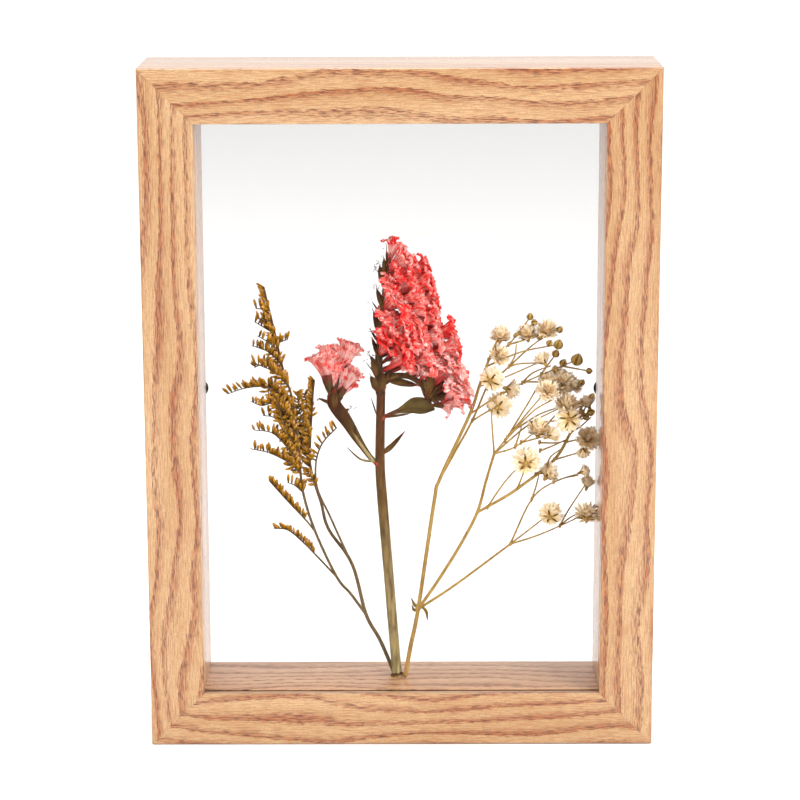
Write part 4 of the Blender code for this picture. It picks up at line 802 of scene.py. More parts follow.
grow("statice_head", [
    *blooms(paper, feet, mouths, radii, 21),
    *blooms(pale_paper, low_feet, low_mouths, low_radii, 25),
    (tube_skin, sprouts(tube_feet, tube_tips, TUBE, 0.8, sides=8, seed=4)),
    (calyx_skin, stem(STATICE_RACHIS, (1.6, 1.2, 0.9, 0.7, 0.6), sides=8)),
    (calyx_skin, stem(STATICE_LOW_RACHIS, (1.1, 1.0, 0.9, 0.8), sides=8)),
    (bract_skin, sprouts(bract_feet, bract_tips, SCALE, bract_half, sides=10, flat=0.5, seed=5)),
    (calyx_skin, bristles(bract_tips, 90, 2.2, 6)),
    (calyx_skin, bristles(bract_feet, 70, 2.6, 7)),
], "statice_flower_head", seed=3)

side_roots, side_feet, side_mouths, side_radii = flower_bunch(
    SIDE_FLOWERS, [(-22.0, -0.8, 110.0), (-20.6, -0.6, 108.6)], 9.0, 11.0, 2, seed=13
)
SIDE_BRACTS = [
    ((-21.8, -0.8, 108.0), (-22.8, -0.8, 117.0), 1.6), ((-20.6, -0.6, 107.6), (-18.2, -1.4, 115.6), 1.6),
    ((-20.6, -0.4, 107.8), (-19.0, 1.8, 115.2), 1.5), ((-21.6, -0.8, 107.8), (-26.4, -0.8, 110.0), 0.6),
    ((-19.0, -0.6, 105.0), (-16.2, -0.6, 106.4), 0.7), ((-21.2, -1.6, 107.0), (-21.0, -2.8, 114.0), 1.5),
    ((-20.0, 0.8, 107.0), (-21.6, 1.8, 114.6), 1.4),
]
SIDE_CLASP = [(-8.6, 0.0, 88.8), (-13.0, -0.3, 89.8), (-17.2, -0.3, 93.6)]
bract_feet, bract_tips, bract_half = columns(SIDE_BRACTS)
side_tube_tips = side_feet + 0.3 * (side_mouths - side_feet)
grow("statice_side_flower", [
    *blooms(pale_paper, side_feet, side_mouths, side_radii, 23, curl=0.3),
    (calyx_skin, sprouts(side_roots, side_tube_tips, TUBE, 1.2, sides=8, seed=8)),
    (bract_skin, stem(STATICE_SIDE, (0.7, 0.8, 1.1, 1.7, 2.2, 2.1, 1.3), sides=12, flat=0.34, fold=0.25)),
    (stem_rind, stem(STATICE_SIDE, (0.6, 0.6, 0.55, 0.5), sides=8)),
    (bract_skin, sprouts(bract_feet, bract_tips, SCALE, bract_half, sides=10, flat=0.5, seed=9)),
    (stem_rind, stem(SIDE_CLASP, (0.35, 0.4, 0.3, 0.12), sides=8)),
    (calyx_skin, bristles(bract_tips, 60, 2.0, 10)),
    (calyx_skin, bristles(bract_feet, 40, 2.2, 11)),
], "statice_side_branch", seed=4)

# Sea lavender: wiry grey-brown strands that fork near the foot. Their arching twigs carry close rows of small
# golden-brown spikelets, each of a few dry scales with a paler tip, all leaning towards the twig's end.
LAVENDER_FORK_LOW = (-11.5, 1.6, 37.4)
LAVENDER_FORK_STRANDS = (-15.9, 1.0, 54.6)
LAVENDER_FORK_TWIG = (-20.8, -0.5, 50.6)
LAVENDER_FORK_SPRAY = (-27.6, -0.5, 65.8)
LAVENDER_MAIN = [
    (-2.6, 2.6, 17.6), (-7.0, 2.2, 28.5), LAVENDER_FORK_LOW, LAVENDER_FORK_STRANDS, (-23.4, 0.7, 66.4),
    (-25.7, 1.2, 75.0), (-28.7, 2.2, 84.8), (-29.2, 2.6, 92.0), (-28.2, 2.6, 109.0), (-27.6, 2.6, 115.0),
]
LAVENDER_SECOND = [
    LAVENDER_FORK_STRANDS, (-18.3, -1.0, 60.5), (-22.8, -1.8, 71.3), (-26.7, -2.2, 80.5),
    (-27.1, -2.4, 89.0), (-25.0, -2.4, 95.5), (-20.4, -2.2, 100.6),
]
LAVENDER_LEFT = [
    LAVENDER_FORK_LOW, (-16.5, 0.0, 45.0), LAVENDER_FORK_TWIG, LAVENDER_FORK_SPRAY, (-31.4, -0.5, 79.0),
    (-32.5, -0.5, 91.0), (-34.0, -0.2, 107.3), (-37.3, 0.0, 119.0), (-39.8, 0.0, 131.0), (-43.1, 0.0, 145.6),
]
LAVENDER_SPRAY_LOW = [LAVENDER_FORK_SPRAY, (-30.8, -1.0, 70.1), (-36.4, -1.2, 76.3), (-42.2, -1.2, 83.0)]
LAVENDER_TWIG_LOW = [
    LAVENDER_FORK_TWIG, (-26.5, 0.8, 56.5), (-31.8, 1.0, 62.1), (-36.5, 1.0, 66.0), (-41.0, 1.0, 66.6),
]

# Side twigs of the left strand, from low to high
LEFT_TWIGS = [
    [(-32.2, -0.5, 85.4), (-36.2, -1.4, 89.2), (-42.0, -1.6, 92.2), (-48.0, -1.6, 93.6)],
    [(-32.4, -0.5, 88.0), (-37.0, -2.0, 95.0), (-41.0, -2.6, 99.0), (-46.8, -2.6, 100.0)],
    [(-32.5, -0.5, 89.6), (-35.0, 1.6, 94.5), (-36.1, 2.4, 99.3), (-36.3, 2.6, 105.3)],
    [(-33.0, -0.4, 92.7), (-36.1, -2.6, 98.7), (-38.2, -3.4, 104.7), (-39.2, -3.4, 110.8)],
    [(-32.9, -0.4, 94.6), (-39.6, 2.0, 102.3), (-44.1, 2.6, 103.5)],
    [(-33.2, -0.3, 98.4), (-38.4, 1.0, 105.9), (-41.8, 1.6, 110.2), (-42.3, 1.8, 113.6)],
    [(-33.6, -0.2, 102.6), (-40.1, -1.8, 108.2), (-44.1, -2.2, 107.8), (-47.6, -2.2, 109.2)],
    [(-34.2, -0.2, 106.4), (-38.3, 0.6, 110.6), (-41.7, 0.8, 113.0), (-44.9, 1.0, 113.3), (-49.8, 1.0, 112.7),
     (-55.4, 1.0, 110.8)],
    [(-35.6, 0.0, 113.4), (-39.9, -1.6, 118.4), (-44.0, -2.0, 120.6), (-47.0, -2.0, 121.6)],
    [(-36.4, 0.0, 116.0), (-40.5, 1.8, 118.9), (-43.9, 2.2, 120.1), (-46.6, 2.2, 119.2)],
    [(-37.6, 0.0, 120.4), (-41.6, 0.6, 124.4), (-44.7, 0.8, 125.8), (-47.2, 0.8, 126.6)],
    [(-38.8, 0.0, 125.4), (-42.1, -1.2, 128.3), (-45.2, -1.4, 130.2)],
    [(-39.8, 0.0, 130.6), (-43.2, 1.2, 132.4), (-46.2, 1.4, 134.2)],
    [(-41.0, 0.0, 134.8), (-43.3, -0.6, 135.2), (-45.0, -0.8, 135.6)],
    [(-41.8, 0.0, 138.0), (-43.6, 0.6, 138.4), (-45.8, 0.8, 138.6)],
    [(-39.0, 0.0, 127.5), (-37.6, -0.4, 128.2), (-35.6, -0.6, 128.9)],
    [(-31.4, -0.5, 78.9), (-34.0, -1.2, 81.4), (-36.3, -1.4, 82.4)],
]
SECOND_TWIG = [(-26.9, -2.3, 81.5), (-28.4, -2.6, 84.0), (-30.0, -2.8, 86.6)]
MAIN_TWIGS = [
    [(-29.0, 2.5, 87.3), (-31.0, 3.2, 91.5), (-33.0, 3.6, 96.0)],
    [(-29.2, 2.6, 91.0), (-32.1, 4.0, 96.3), (-33.6, 4.4, 101.1), (-34.6, 4.6, 105.2)],
    [(-29.1, 2.6, 94.6), (-31.5, 1.4, 102.4), (-32.7, 1.0, 107.6), (-32.9, 1.0, 111.8)],
    [(-28.6, 2.6, 102.0), (-30.0, 3.6, 107.0), (-31.0, 4.0, 110.4)],
]
SPIKELET = [(0.0, 0.3), (0.25, 0.75), (0.55, 1.0), (0.82, 0.85), (1.0, 0.4)]


def spikelet_rows(route, spacing, start, length, above, seed, both=False, lean=0.9):
    """Bases and tips of close spikelets along a twig.

    They stand at even distances along its curve, in two ranks a little before and behind it, each on the side
    that above gives (in turn on both sides if asked), leaning towards the twig's end.
    """
    random = np.random.default_rng(seed)
    line = smooth_route(route, 8)
    arc = np.concatenate([[0.0], np.cumsum(np.linalg.norm(np.diff(line, axis=0), axis=1))])
    places = np.arange(start * arc[-1], arc[-1], spacing)
    places = np.minimum(places + random.normal(0, 0.15 * spacing, len(places)), arc[-1])
    base = np.stack([np.interp(places, arc, line[:, k]) for k in range(3)], axis=-1)
    tangent = np.gradient(line, arc, axis=0)
    ahead = unit(np.stack([np.interp(places, arc, tangent[:, k]) for k in range(3)], axis=-1))
    off = np.tile(np.array(above, float), (len(places), 1))
    if both:
        off[1::2] *= [-1.0, 1.0, 0.3]
    off = unit(off - ahead * np.sum(off * ahead, axis=1, keepdims=True))
    rank = np.where(np.arange(len(places)) % 4 < 2, -0.45, 0.45)[:, None] * [0.0, 1.0, 0.0]
    way = unit(off + lean * ahead + rank + random.normal(0, 0.2, off.shape))
    grown = length * random.uniform(0.85, 1.25, len(places)) * np.interp(places, [0, arc[-1]], [1.0, 0.75])
    return base, base + way * grown[:, None]


def spikelets(rows):
    """The spikelets of several rows as small ribbed shapes."""
    bases = np.vstack([row[0] for row in rows])
    tips = np.vstack([row[1] for row in rows])
    return sprouts(bases, tips, SPIKELET, 0.54, sides=6, flat=0.75, seed=len(bases))


def strand(name, wires, rows, node, seed):
    """A strand of sea lavender: wires as (route, radii, sides), and rows of spikelets along them."""
    shapes = [(wiry, stem(route, radii, sides=sides)) for route, radii, sides in wires]
    grow(name, [*shapes, (scale_gold, spikelets(rows))], node, seed=seed)


wiry = plant_finish("lavender_twig", [(0.0, "#6E5A3A"), (0.5, "#6A543A"), (1.0, "#5C4228")], "#3E2E1C", 0.7)
scale_gold = plant_finish(
    "lavender_scales", [(0.0, "#4A2C08"), (0.4, "#92620C"), (0.72, "#BE8416"), (1.0, "#CE9C68")],
    "#3A2202", 0.7, streak_share=0.55, grain=(1500.0, 1500.0, 700.0), bump=0.1,
)
OUTWARD = (-0.45, 0.0, 1.0)
SIDEWAYS = (-1.0, 0.0, 0.4)

column = LAVENDER_MAIN[6:]
rows = [
    spikelet_rows(column, 0.75, 0.0, 3.2, SIDEWAYS, 31), spikelet_rows(column, 1.3, 0.3, 2.8, OUTWARD, 30),
]
rows += [
    spikelet_rows(twig, 0.5, 0.05, 3.0, SIDEWAYS, 40 + k, both=True) for k, twig in enumerate(MAIN_TWIGS)
]
wires = [(LAVENDER_MAIN, (0.64, 0.58, 0.5, 0.42, 0.32), 8)]
wires += [(twig, (0.26, 0.2, 0.14), 6) for twig in MAIN_TWIGS]
strand("lavender_main_strand", wires, rows, "sea_lavender_main", 5)

rows = [spikelet_rows(LAVENDER_SECOND, 1.3, 0.74, 3.7, (-0.6, 0.0, 1.0), 32, lean=0.4)]
rows += [spikelet_rows(SECOND_TWIG, 0.5, 0.1, 2.4, SIDEWAYS, 33, both=True)]
wires = [(SECOND_TWIG, (0.24, 0.18), 6), (LAVENDER_SECOND, (0.42, 0.36, 0.3, 0.22), 8)]
strand("lavender_second_strand", wires, rows, "sea_lavender_second", 6)

rows = [spikelet_rows(LAVENDER_LEFT[7:], 0.7, 0.3, 3.2, (-1.0, 0.0, 0.3), 34)]
rows += [spikelet_rows(twig, 1.1, 0.1, 3.7, OUTWARD, 50 + k, lean=0.3) for k, twig in enumerate(LEFT_TWIGS)]
rows += [
    spikelet_rows(twig[:-1], 0.6, 0.06, 3.1, OUTWARD, 90 + k, lean=0.6) for k, twig in enumerate(LEFT_TWIGS)
]
rows += [
    spikelet_rows(twig[:-2], 0.6, 0.02, 2.8, SIDEWAYS, 120 + k, both=True)
    for k, twig in enumerate(LEFT_TWIGS) if len(twig) > 3
]
wires = [(LAVENDER_LEFT, (0.5, 0.45, 0.42, 0.36, 0.26), 8)]
wires += [(twig, (0.28, 0.22, 0.14), 6) for twig in LEFT_TWIGS]
strand("lavender_left_strand", wires, rows, "sea_lavender_left", 7)

rows = [spikelet_rows(LAVENDER_SPRAY_LOW, 0.6, 0.25, 3.2, OUTWARD, 37)]
wires = [(LAVENDER_SPRAY_LOW, (0.34, 0.28, 0.2), 8)]
strand("lavender_low_spray", wires, rows, "sea_lavender_spray_low", 8)
rows = [spikelet_rows(LAVENDER_TWIG_LOW, 0.7, 0.4, 2.8, OUTWARD, 38)]
wires = [(LAVENDER_TWIG_LOW, (0.34, 0.28, 0.2), 8)]
strand("lavender_low_twig", wires, rows, "sea_lavender_twig_low", 9)

# Baby's breath: straw-coloured stems that fork and fork again, thick at each joint. They end in double
# flowers, soft balls of many thin cream petals behind five olive sepals, and in small closed buds.
BREATH_NODE_LOW = (5.4, -1.6, 40.1)
BREATH_NODE_UPPER = (12.5, -0.6, 83.5)
BREATH_NODE_MIDDLE = (24.3, -4.5, 73.2)
BREATH_NODE_RIGHT = (35.2, 3.5, 60.4)

# Main stem of each branch, the radii along it, and its twigs
BREATH_MAINS = {
    "stem": [(1.2, -1.8, 17.6), (3.0, -1.8, 28.0), BREATH_NODE_LOW, (10.6, -0.8, 75.9), BREATH_NODE_UPPER,
             (22.0, -0.2, 104.5), (24.9, -0.4, 113.5), (27.7, -0.4, 121.5), (31.2, -0.2, 129.8)],
    "upper": [BREATH_NODE_UPPER, (17.4, 1.2, 92.0), (22.7, 2.2, 101.6), (27.6, 2.8, 113.2)],
    "middle": [BREATH_NODE_LOW, (12.0, -3.2, 50.5), (19.0, -4.2, 62.5), BREATH_NODE_MIDDLE,
               (26.9, -4.5, 82.9), (29.6, -4.2, 92.4)],
    "right": [BREATH_NODE_MIDDLE, (31.0, -1.6, 76.2), (37.3, 0.2, 79.8), (49.0, 1.6, 88.9), (54.3, 2.0, 97.9),
              (58.1, 2.0, 104.4)],
    "low": [BREATH_NODE_LOW, (16.0, 0.8, 46.5), (26.0, 2.4, 53.6), BREATH_NODE_RIGHT],
}
BREATH_RADII = {
    "stem": (0.72, 0.64, 0.56, 0.46, 0.32), "upper": (0.44, 0.38, 0.3), "middle": (0.54, 0.5, 0.42),
    "right": (0.46, 0.5, 0.5, 0.4), "low": (0.46, 0.4, 0.34),
}
BREATH_TWIGS = {
    "stem": [
        [(27.7, -0.4, 122.0), (34.1, 0.4, 126.8), (40.6, 0.8, 135.0)],
        [(34.1, 0.4, 126.8), (39.9, -0.6, 128.8), (46.0, -1.0, 131.6)],
        [(36.5, 0.6, 129.8), (40.0, 1.4, 130.6)],
        [(27.2, -0.4, 120.0), (38.0, -1.4, 124.8), (49.4, -2.2, 127.3)],
        [(24.9, -0.4, 113.5), (33.6, -1.4, 116.9), (44.6, -2.0, 122.0)],
        [(22.0, -0.2, 104.5), (33.2, 2.0, 111.2), (46.5, 4.0, 117.0), (56.0, 5.0, 120.8)],
        [(39.5, 3.0, 114.2), (47.0, 4.4, 113.8), (52.4, 4.8, 113.2)],
        [(51.2, 4.5, 119.0), (60.0, 4.2, 117.4)],
        [(44.6, 3.8, 116.3), (49.4, 5.0, 122.8)],
        [(44.0, -1.0, 131.0), (50.2, -1.2, 132.0)],
        [(24.9, -0.4, 113.5), (29.0, -1.4, 116.3)],
        [(36.0, 0.6, 129.5), (42.4, 1.6, 133.6)],
        [(29.7, -0.4, 125.6), (31.6, -0.6, 123.8)],
        [(32.0, 1.8, 110.4), (35.4, 2.6, 111.8)],
        [(29.6, -1.4, 115.6), (36.0, 0.0, 121.4), (41.0, 0.4, 126.0), (45.6, 0.0, 129.6)],
        [(34.2, -0.4, 119.8), (37.4, -1.4, 121.0), (43.0, -2.0, 121.4)],
        [(34.2, -0.4, 119.8), (36.0, -1.8, 123.4), (36.6, -2.0, 127.4)],
        [(38.6, 2.8, 113.8), (42.0, 3.4, 117.0), (47.8, 4.0, 119.2)],
    ],
    "upper": [[(22.7, 2.2, 101.6), (29.0, 3.6, 105.2), (31.9, 3.8, 106.6)]],
    "middle": [
        [(29.6, -4.2, 92.4), (28.9, -4.6, 102.0), (28.6, -4.6, 107.0)],
        [(29.6, -4.2, 92.4), (39.1, -4.2, 104.5), (46.0, -3.6, 112.6)],
        [(29.6, -4.2, 92.4), (41.0, -3.0, 101.9), (52.0, -2.4, 107.6)],
        [(29.6, -4.2, 92.4), (36.2, -5.4, 94.9), (43.2, -6.0, 100.6)],
        [(38.0, -5.4, 96.3), (47.4, -6.0, 99.0)],
        [(41.0, -3.0, 101.9), (52.6, -3.8, 103.4)],
        [(33.6, -4.2, 97.6), (40.4, -2.0, 108.4), (43.6, -1.2, 114.0)],
        [(33.0, -4.2, 96.6), (41.6, -5.0, 106.2), (48.4, -5.0, 110.4)],
        [(35.2, -4.2, 99.6), (43.6, -1.6, 104.4), (49.6, -1.0, 106.6)],
        [(36.2, -5.4, 94.9), (37.4, -4.6, 98.4), (38.2, -4.2, 101.2)],
        [(44.2, -3.0, 98.6), (48.0, -2.6, 103.4), (50.8, -2.2, 106.0)],
    ],
    "right": [
        [(27.5, -3.1, 74.4), (33.0, -2.0, 82.4), (39.6, -1.4, 89.6)],
        [(37.3, 0.2, 79.8), (39.8, -0.6, 87.0)],
        [(43.0, 0.9, 84.2), (47.4, 0.2, 85.2)],
        [(49.0, 1.6, 88.9), (58.0, 1.0, 91.8)],
        [(52.5, 1.8, 94.6), (59.8, 0.6, 96.6)],
        [(44.0, -1.8, 95.4), (49.5, 0.4, 94.8), (52.8, 1.8, 95.2)],
        [(58.1, 2.0, 104.4), (59.4, 2.0, 107.2)],
        [(57.6, 2.0, 103.4), (60.6, 1.4, 104.8)],
        [(56.4, 2.0, 101.4), (59.2, 3.0, 102.8)],
        [(59.4, 2.0, 107.2), (61.0, 2.6, 109.6)],
        [(58.1, 2.0, 104.4), (57.0, 1.0, 107.2)],
        [(46.6, 1.4, 87.2), (48.0, 0.4, 90.4), (51.0, 0.0, 92.8)],
        [(54.3, 2.0, 97.9), (57.2, 2.8, 99.4), (60.8, 3.0, 102.6)],
        [(44.4, 1.0, 92.0), (49.0, 1.4, 93.8), (52.6, 1.8, 95.4)],
    ],
    "low": [
        [BREATH_NODE_RIGHT, (42.0, 4.4, 75.0), (49.0, 5.0, 80.6), (58.4, 5.2, 83.8)],
        [BREATH_NODE_RIGHT, (48.0, 2.4, 71.0)],
        [BREATH_NODE_RIGHT, (43.3, 4.4, 62.8), (51.2, 5.0, 66.0), (60.0, 5.4, 70.2)],
        [(51.2, 5.0, 66.0), (54.1, 6.2, 71.1), (59.4, 7.0, 79.2)],
        [(42.0, 4.4, 75.0), (43.4, 3.6, 79.6), (44.2, 3.0, 83.4)],
        [(49.0, 5.0, 80.6), (52.6, 4.4, 82.2), (57.0, 4.6, 83.0)],
        [(51.2, 5.0, 66.0), (54.2, 5.6, 68.4), (56.8, 5.6, 70.0)],
    ],
}

# Double flowers: centre, radius, the way the flower faces, and how far its petals spread in degrees
BREATH_FLOWERS = {
    "stem": [
        ((31.6, -0.2, 130.6), 2.5, (0.1, 0.1, 1.0), 88), ((31.6, -0.6, 123.8), 2.4, (0.6, -0.5, 0.6), 80),
        ((29.4, -1.6, 116.6), 2.6, (0.5, 0.85, 0.3), 92), ((40.1, 1.4, 130.8), 2.5, (-0.1, 0.1, 1.0), 90),
        ((46.2, -1.0, 132.2), 2.4, (0.2, -0.3, 0.9), 80), ((44.8, -2.2, 122.6), 2.1, (-0.5, 0.2, 0.8), 55),
        ((51.4, 4.6, 113.8), 2.9, (0.0, -0.8, 0.6), 95), ((55.2, 4.6, 112.8), 2.1, (0.7, -0.3, 0.6), 60),
        ((47.4, 4.6, 114.0), 2.5, (-0.3, -0.5, 0.9), 90), ((35.4, 2.6, 111.8), 2.3, (0.9, 0.1, -0.2), 60),
    ],
    "upper": [
        ((31.9, 3.8, 106.8), 2.7, (0.5, 0.85, 0.3), 92), ((27.9, 2.8, 113.6), 1.7, (0.1, 0.2, 1.0), 50),
    ],
    "middle": [
        ((46.6, -3.6, 113.2), 2.4, (0.2, -0.6, 0.8), 90), ((52.8, -2.4, 108.4), 2.8, (0.2, -0.2, 1.0), 85),
        ((43.6, -6.0, 101.4), 2.7, (0.1, 0.1, 1.0), 85), ((47.8, -6.2, 99.2), 2.2, (0.8, 0.2, 0.4), 50),
        ((53.0, -4.0, 103.4), 2.6, (-0.1, 0.9, -0.3), 85), ((28.6, -4.6, 107.6), 1.3, (-0.2, 0.0, 1.0), 40),
    ],
    "right": [
        ((40.0, -1.6, 90.2), 3.0, (0.1, 0.9, 0.4), 95), ((47.7, 0.2, 85.2), 2.5, (0.6, 0.3, 0.7), 75),
        ((60.0, 0.6, 96.6), 2.6, (0.3, -0.5, 0.8), 90), ((58.2, 1.0, 91.8), 1.7, (0.2, 0.3, -0.9), 50),
        ((59.4, 2.0, 107.6), 2.0, (-0.4, -0.1, 0.9), 55),
    ],
    "low": [
        ((48.3, 2.2, 71.4), 2.6, (0.2, 0.85, 0.45), 92), ((60.0, 5.4, 70.8), 2.7, (0.1, 0.6, 0.75), 92),
        ((60.2, 7.0, 79.8), 2.0, (0.2, -0.1, 1.0), 45), ((58.8, 5.2, 84.2), 1.7, (0.8, 0.0, 0.3), 45),
    ],
}

# Buds: middle, half length and the way the bud points
BREATH_BUDS = {
    "stem": [
        ((40.9, 0.9, 135.8), 1.15, (0.0, 0.0, 1.0)), ((42.4, 1.6, 133.7), 1.1, (1.0, 0.0, 0.0)),
        ((50.2, -1.2, 132.0), 1.15, (0.5, 0.0, 0.8)), ((44.2, -0.8, 129.6), 1.2, (0.9, 0.0, 0.0)),
        ((47.0, -2.0, 127.8), 1.1, (0.5, 0.0, 0.8)), ((49.8, -2.2, 127.4), 1.6, (0.3, 0.0, 0.9)),
        ((49.4, 5.0, 123.0), 1.3, (0.4, 0.0, 0.9)), ((51.8, 4.6, 120.0), 1.3, (0.4, 0.0, 0.9)),
        ((56.2, 5.0, 121.0), 2.0, (0.3, 0.0, 0.9)), ((60.1, 4.2, 117.4), 1.05, (1.0, 0.0, 0.0)),
        ((49.2, 4.2, 118.1), 1.2, (0.0, 0.0, 1.0)), ((57.8, 4.6, 113.6), 1.1, (0.6, 0.0, 0.8)),
    ],
    "upper": [],
    "middle": [],
    "right": [
        ((57.4, 2.4, 104.4), 1.2, (0.2, 0.0, 1.0)), ((60.6, 1.4, 104.6), 1.3, (0.9, 0.0, 0.3)),
        ((59.2, 3.0, 102.6), 1.1, (0.8, 0.0, -0.3)), ((61.0, 2.6, 109.6), 1.0, (0.5, 0.0, 0.9)),
        ((57.0, 1.0, 107.2), 1.3, (-0.3, 0.0, 0.9)),
    ],
    "low": [],
}

# The tips of the petals stand out past the radius above by this factor
BREATH_OPENING = 1.35
PETALS = 170
GOLDEN_ANGLE = 2.39996
PETAL = [(0.0, 0.3), (0.4, 0.7), (0.8, 1.0), (1.0, 0.45)]
SEPAL = [(0.0, 0.6), (0.35, 1.0), (0.7, 0.8), (1.0, 0.1)]
BUD = [(0.0, 0.25), (0.12, 0.72), (0.36, 1.0), (0.62, 0.92), (0.85, 0.55), (1.0, 0.18)]
CUP = [(0.0, 0.3), (0.3, 0.9), (0.7, 1.0), (1.0, 0.8)]


def around(axis, polar, azimuth):
    """Directions at a polar angle from an axis and an azimuth about it, and a petal's thin side there."""
    side = unit(np.cross(axis, [0.31, 0.52, 0.79]))
    up = np.cross(axis, side)
    level = side * np.cos(azimuth)[..., None] + up * np.sin(azimuth)[..., None]
    way = axis * np.cos(polar)[..., None] + level * np.sin(polar)[..., None]
    return way, level * np.cos(polar)[..., None] - axis * np.sin(polar)[..., None]


def flower_parts(flowers, seed):
    """Petals, sepals and cups of double flowers.

    Petal k of a flower leaves its foot at azimuth 137.5 k degrees and a polar angle whose cosine falls evenly
    from 1 to that of the spread, which spaces them evenly over the dome; five sepals clasp them from behind.
    """
    random = np.random.default_rng(seed)
    centre = np.array([flower[0] for flower in flowers])[:, None]
    radius = BREATH_OPENING * np.array([flower[1] for flower in flowers])[:, None, None]
    axis = unit(np.array([flower[2] for flower in flowers]))[:, None]
    spread = np.radians([flower[3] for flower in flowers])[:, None]
    k = np.arange(PETALS)[None]
    polar = np.arccos(1 - (1 - np.cos(spread)) * (k + 0.5) / PETALS)
    polar = polar + random.normal(0, 0.09, polar.shape)
    way, thin = around(axis, polar, GOLDEN_ANGLE * k + random.normal(0, 0.15, polar.shape))
    foot = centre - 0.6 * radius * axis
    grown = random.uniform(0.74, 1.08, polar.shape)[..., None]
    reach = radius * (1.1 + 0.42 * np.cos(polar)[..., None]) * grown
    bases = (foot + way * 0.2 * radius).reshape(-1, 3)
    tips = (foot + way * reach).reshape(-1, 3)
    widths = np.broadcast_to(0.12 * radius[..., 0], polar.shape).ravel()
    facing = thin.reshape(-1, 3)
    petals = sprouts(bases, tips, PETAL, widths, sides=4, flat=0.14, facing=facing, bend=0.1)
    five = np.broadcast_to(np.arange(5)[None] * 2 * np.pi / 5 + 0.4, (len(flowers), 5))
    tilt = np.broadcast_to(np.minimum(spread * 0.93, 1.45), five.shape)
    way, thin = around(axis, tilt, five)
    back = foot - 0.12 * radius * axis
    bases = (back + way * 0.3 * radius).reshape(-1, 3)
    tips = (back + way * 0.95 * radius).reshape(-1, 3)
    widths = np.broadcast_to(0.1 * radius[..., 0], five.shape).ravel()
    facing = thin.reshape(-1, 3)
    sepals = sprouts(bases, tips, SEPAL, widths, sides=6, flat=0.5, facing=facing, bend=-0.06)
    ends = back[:, 0] - 0.3 * radius[:, 0] * axis[:, 0]
    tops = foot[:, 0] + 0.2 * radius[:, 0] * axis[:, 0]
    cups = sprouts(ends, tops, CUP, 0.22 * radius[:, 0, 0], sides=8, seed=seed)
    return petals, sepals, cups


straw = plant_finish(
    "baby_breath_straw", [(0.0, "#A8854A"), (0.5, "#AC8A4A"), (1.0, "#A07A3C")], "#6E4E20", 0.65,
    streak_share=0.5,
)
# Petals run from deep golden at their feet to cream at their tips: partly their own dried tone, partly
# painted shade in the middle of each flower.
cream = plant_finish(
    "baby_breath_petals", [(0.0, "#E6B876"), (0.35, "#F6D69E"), (0.7, "#FDE8C4"), (1.0, "#FFF8EA")],
    "#F4D098", 0.8, grain=(700.0, 700.0, 700.0),
)
olive = plant_finish(
    "baby_breath_sepals", [(0.0, "#8A6C28"), (0.5, "#6E541A"), (1.0, "#584010")], "#42300E", 0.7
)
bud_skin = plant_finish(
    "baby_breath_buds", [(0.0, "#94742E"), (0.5, "#C09850"), (0.85, "#D8B472"), (1.0, "#F4DCA4")],
    "#5E4618", 0.7, grain=(1500.0, 1500.0, 350.0), stripes=5,
)

# Dry bracts round the thick knot at the lowest fork
FORK_BRACTS = [
    [(5.8, -1.6, 40.2), (4.2, -1.9, 41.8), (3.2, -2.0, 44.0)],
    [(5.2, -1.6, 39.8), (4.0, -1.9, 40.0), (3.4, -2.0, 41.6)],
    [(6.4, -1.7, 41.2), (8.0, -2.0, 39.4), (8.4, -2.0, 36.6)],
]
for number, (branch, main) in enumerate(BREATH_MAINS.items()):
    node = "babys_breath_" + branch
    twigs = BREATH_TWIGS[branch]
    shapes = [(straw, stem(main, BREATH_RADII[branch], sides=8))]
    shapes += [(straw, stem(twig, (0.32, 0.26, 0.2), sides=6)) for twig in twigs]
    joints = np.array([main[0]] + [twig[0] for twig in twigs])
    shapes.append((straw, sprouts(joints - [0.0, 0.0, 0.7], joints + [0.2, 0.0, 0.8], CUP, 0.5, sides=8)))
    shapes.append((olive, sprouts(joints, joints + [0.9, -0.3, 1.5], SPINE, 0.2, sides=4)))
    if branch == "stem":
        shapes += [(olive, stem(route, (0.4, 0.55, 0.12), sides=8, flat=0.6)) for route in FORK_BRACTS]
        shapes.append((straw, sprouts([(5.2, -1.6, 38.8)], [(5.6, -1.6, 42.6)], BUD, 0.9, sides=12)))
    petals, sepals, cups = flower_parts(BREATH_FLOWERS[branch], 60 + number)
    shapes += [(cream, petals), (olive, sepals), (straw, cups)]
    if BREATH_BUDS[branch]:
        centre, size, way = columns(BREATH_BUDS[branch])
        way = unit(way) * size[:, None]
        shapes.append((bud_skin, sprouts(centre - way, centre + way, BUD, size, sides=16, seed=5)))
    grow(node + "_branch", shapes, node, seed=70 + number)

# Studio: a pale floor, a white surround and four soft boxes, one above, a strong one to the front right, one
# to the front left and a weak one behind. The camera stands where the photograph was taken from, a little
# above the frame and looking down at it.
CAMERA_PLACE = (2.63, -829.8, 296.4)
CAMERA_RIGHT = (0.99999171, 0.00282811, -0.00292794)
CAMERA_UP = (0.00223157, 0.22070557, 0.97533793)
CAMERA_AHEAD = (-0.00340458, 0.97533638, -0.22069744)
CAMERA_LENS = 120.17
FLOOR_REACH = 6.0

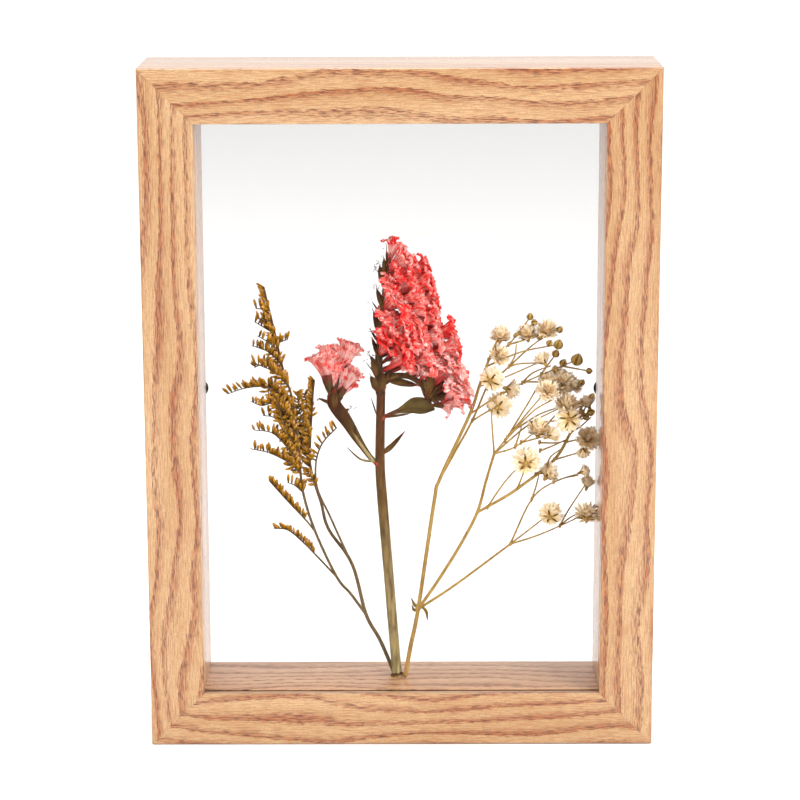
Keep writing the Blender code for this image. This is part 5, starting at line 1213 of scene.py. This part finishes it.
floor_paper, _ = surface("white_paper", Roughness=0.9, Base_Color=colour("#FBFAF8"))
floor_mesh = bpy.data.meshes.new("floor")
floor_corners = [(x * FLOOR_REACH, y * FLOOR_REACH, 0) for x, y in ((-1, -1), (1, -1), (1, 1), (-1, 1))]
floor_mesh.from_pydata(floor_corners, [], [(0, 1, 2, 3)])
floor_mesh.materials.append(floor_paper)
floor = bpy.data.objects.new("floor", floor_mesh)
floor.location.z = -0.2 * MM
bpy.context.collection.objects.link(floor)

surround = bpy.data.worlds.new("surround")
surround.use_nodes = True
feed(surround, surround.node_tree.nodes["Background"], {"Color": colour("#FFFFFF"), "Strength": 1.1})
bpy.context.scene.world = surround


def soft_box(name, place, aim, size, watts):
    """A square area lamp that faces a point."""
    lamp = bpy.data.lights.new(name, "AREA")
    lamp.size = size
    lamp.energy = watts
    seat = bpy.data.objects.new(name, lamp)
    bpy.context.collection.objects.link(seat)
    seat.location = place
    away = np.array(place) - np.array(aim)
    seat.rotation_euler = (math.acos(away[2] / np.linalg.norm(away)), 0, math.atan2(away[0], -away[1]))


soft_box("box_above", (0.0, 0.0, 1.1), (0, 0, 0.2), 0.35, 7.8)
soft_box("box_right", (0.9, -1.0, 0.6), (0, 0, 0.1), 0.6, 13.0)
soft_box("box_left", (-0.9, -0.9, 0.5), (0, 0, 0.1), 0.6, 6.0)
soft_box("box_back", (-0.4, 0.9, 0.9), (0, 0, 0.1), 0.6, 1.2)

lens = bpy.data.cameras.new("camera")
lens.lens = CAMERA_LENS
lens.sensor_width = 36.0
lens.clip_start = 0.01
lens.clip_end = 50.0
camera = bpy.data.objects.new("camera", lens)
bpy.context.collection.objects.link(camera)
placing = np.eye(4)
placing[:3, 0] = CAMERA_RIGHT
placing[:3, 1] = CAMERA_UP
placing[:3, 2] = -np.array(CAMERA_AHEAD)
placing[:3, 3] = np.array(CAMERA_PLACE) * MM
camera.matrix_world = placing.T.tolist()
bpy.context.scene.camera = camera
bpy.context.scene.view_settings.view_transform = "Standard"

bpy.context.view_layer.update()
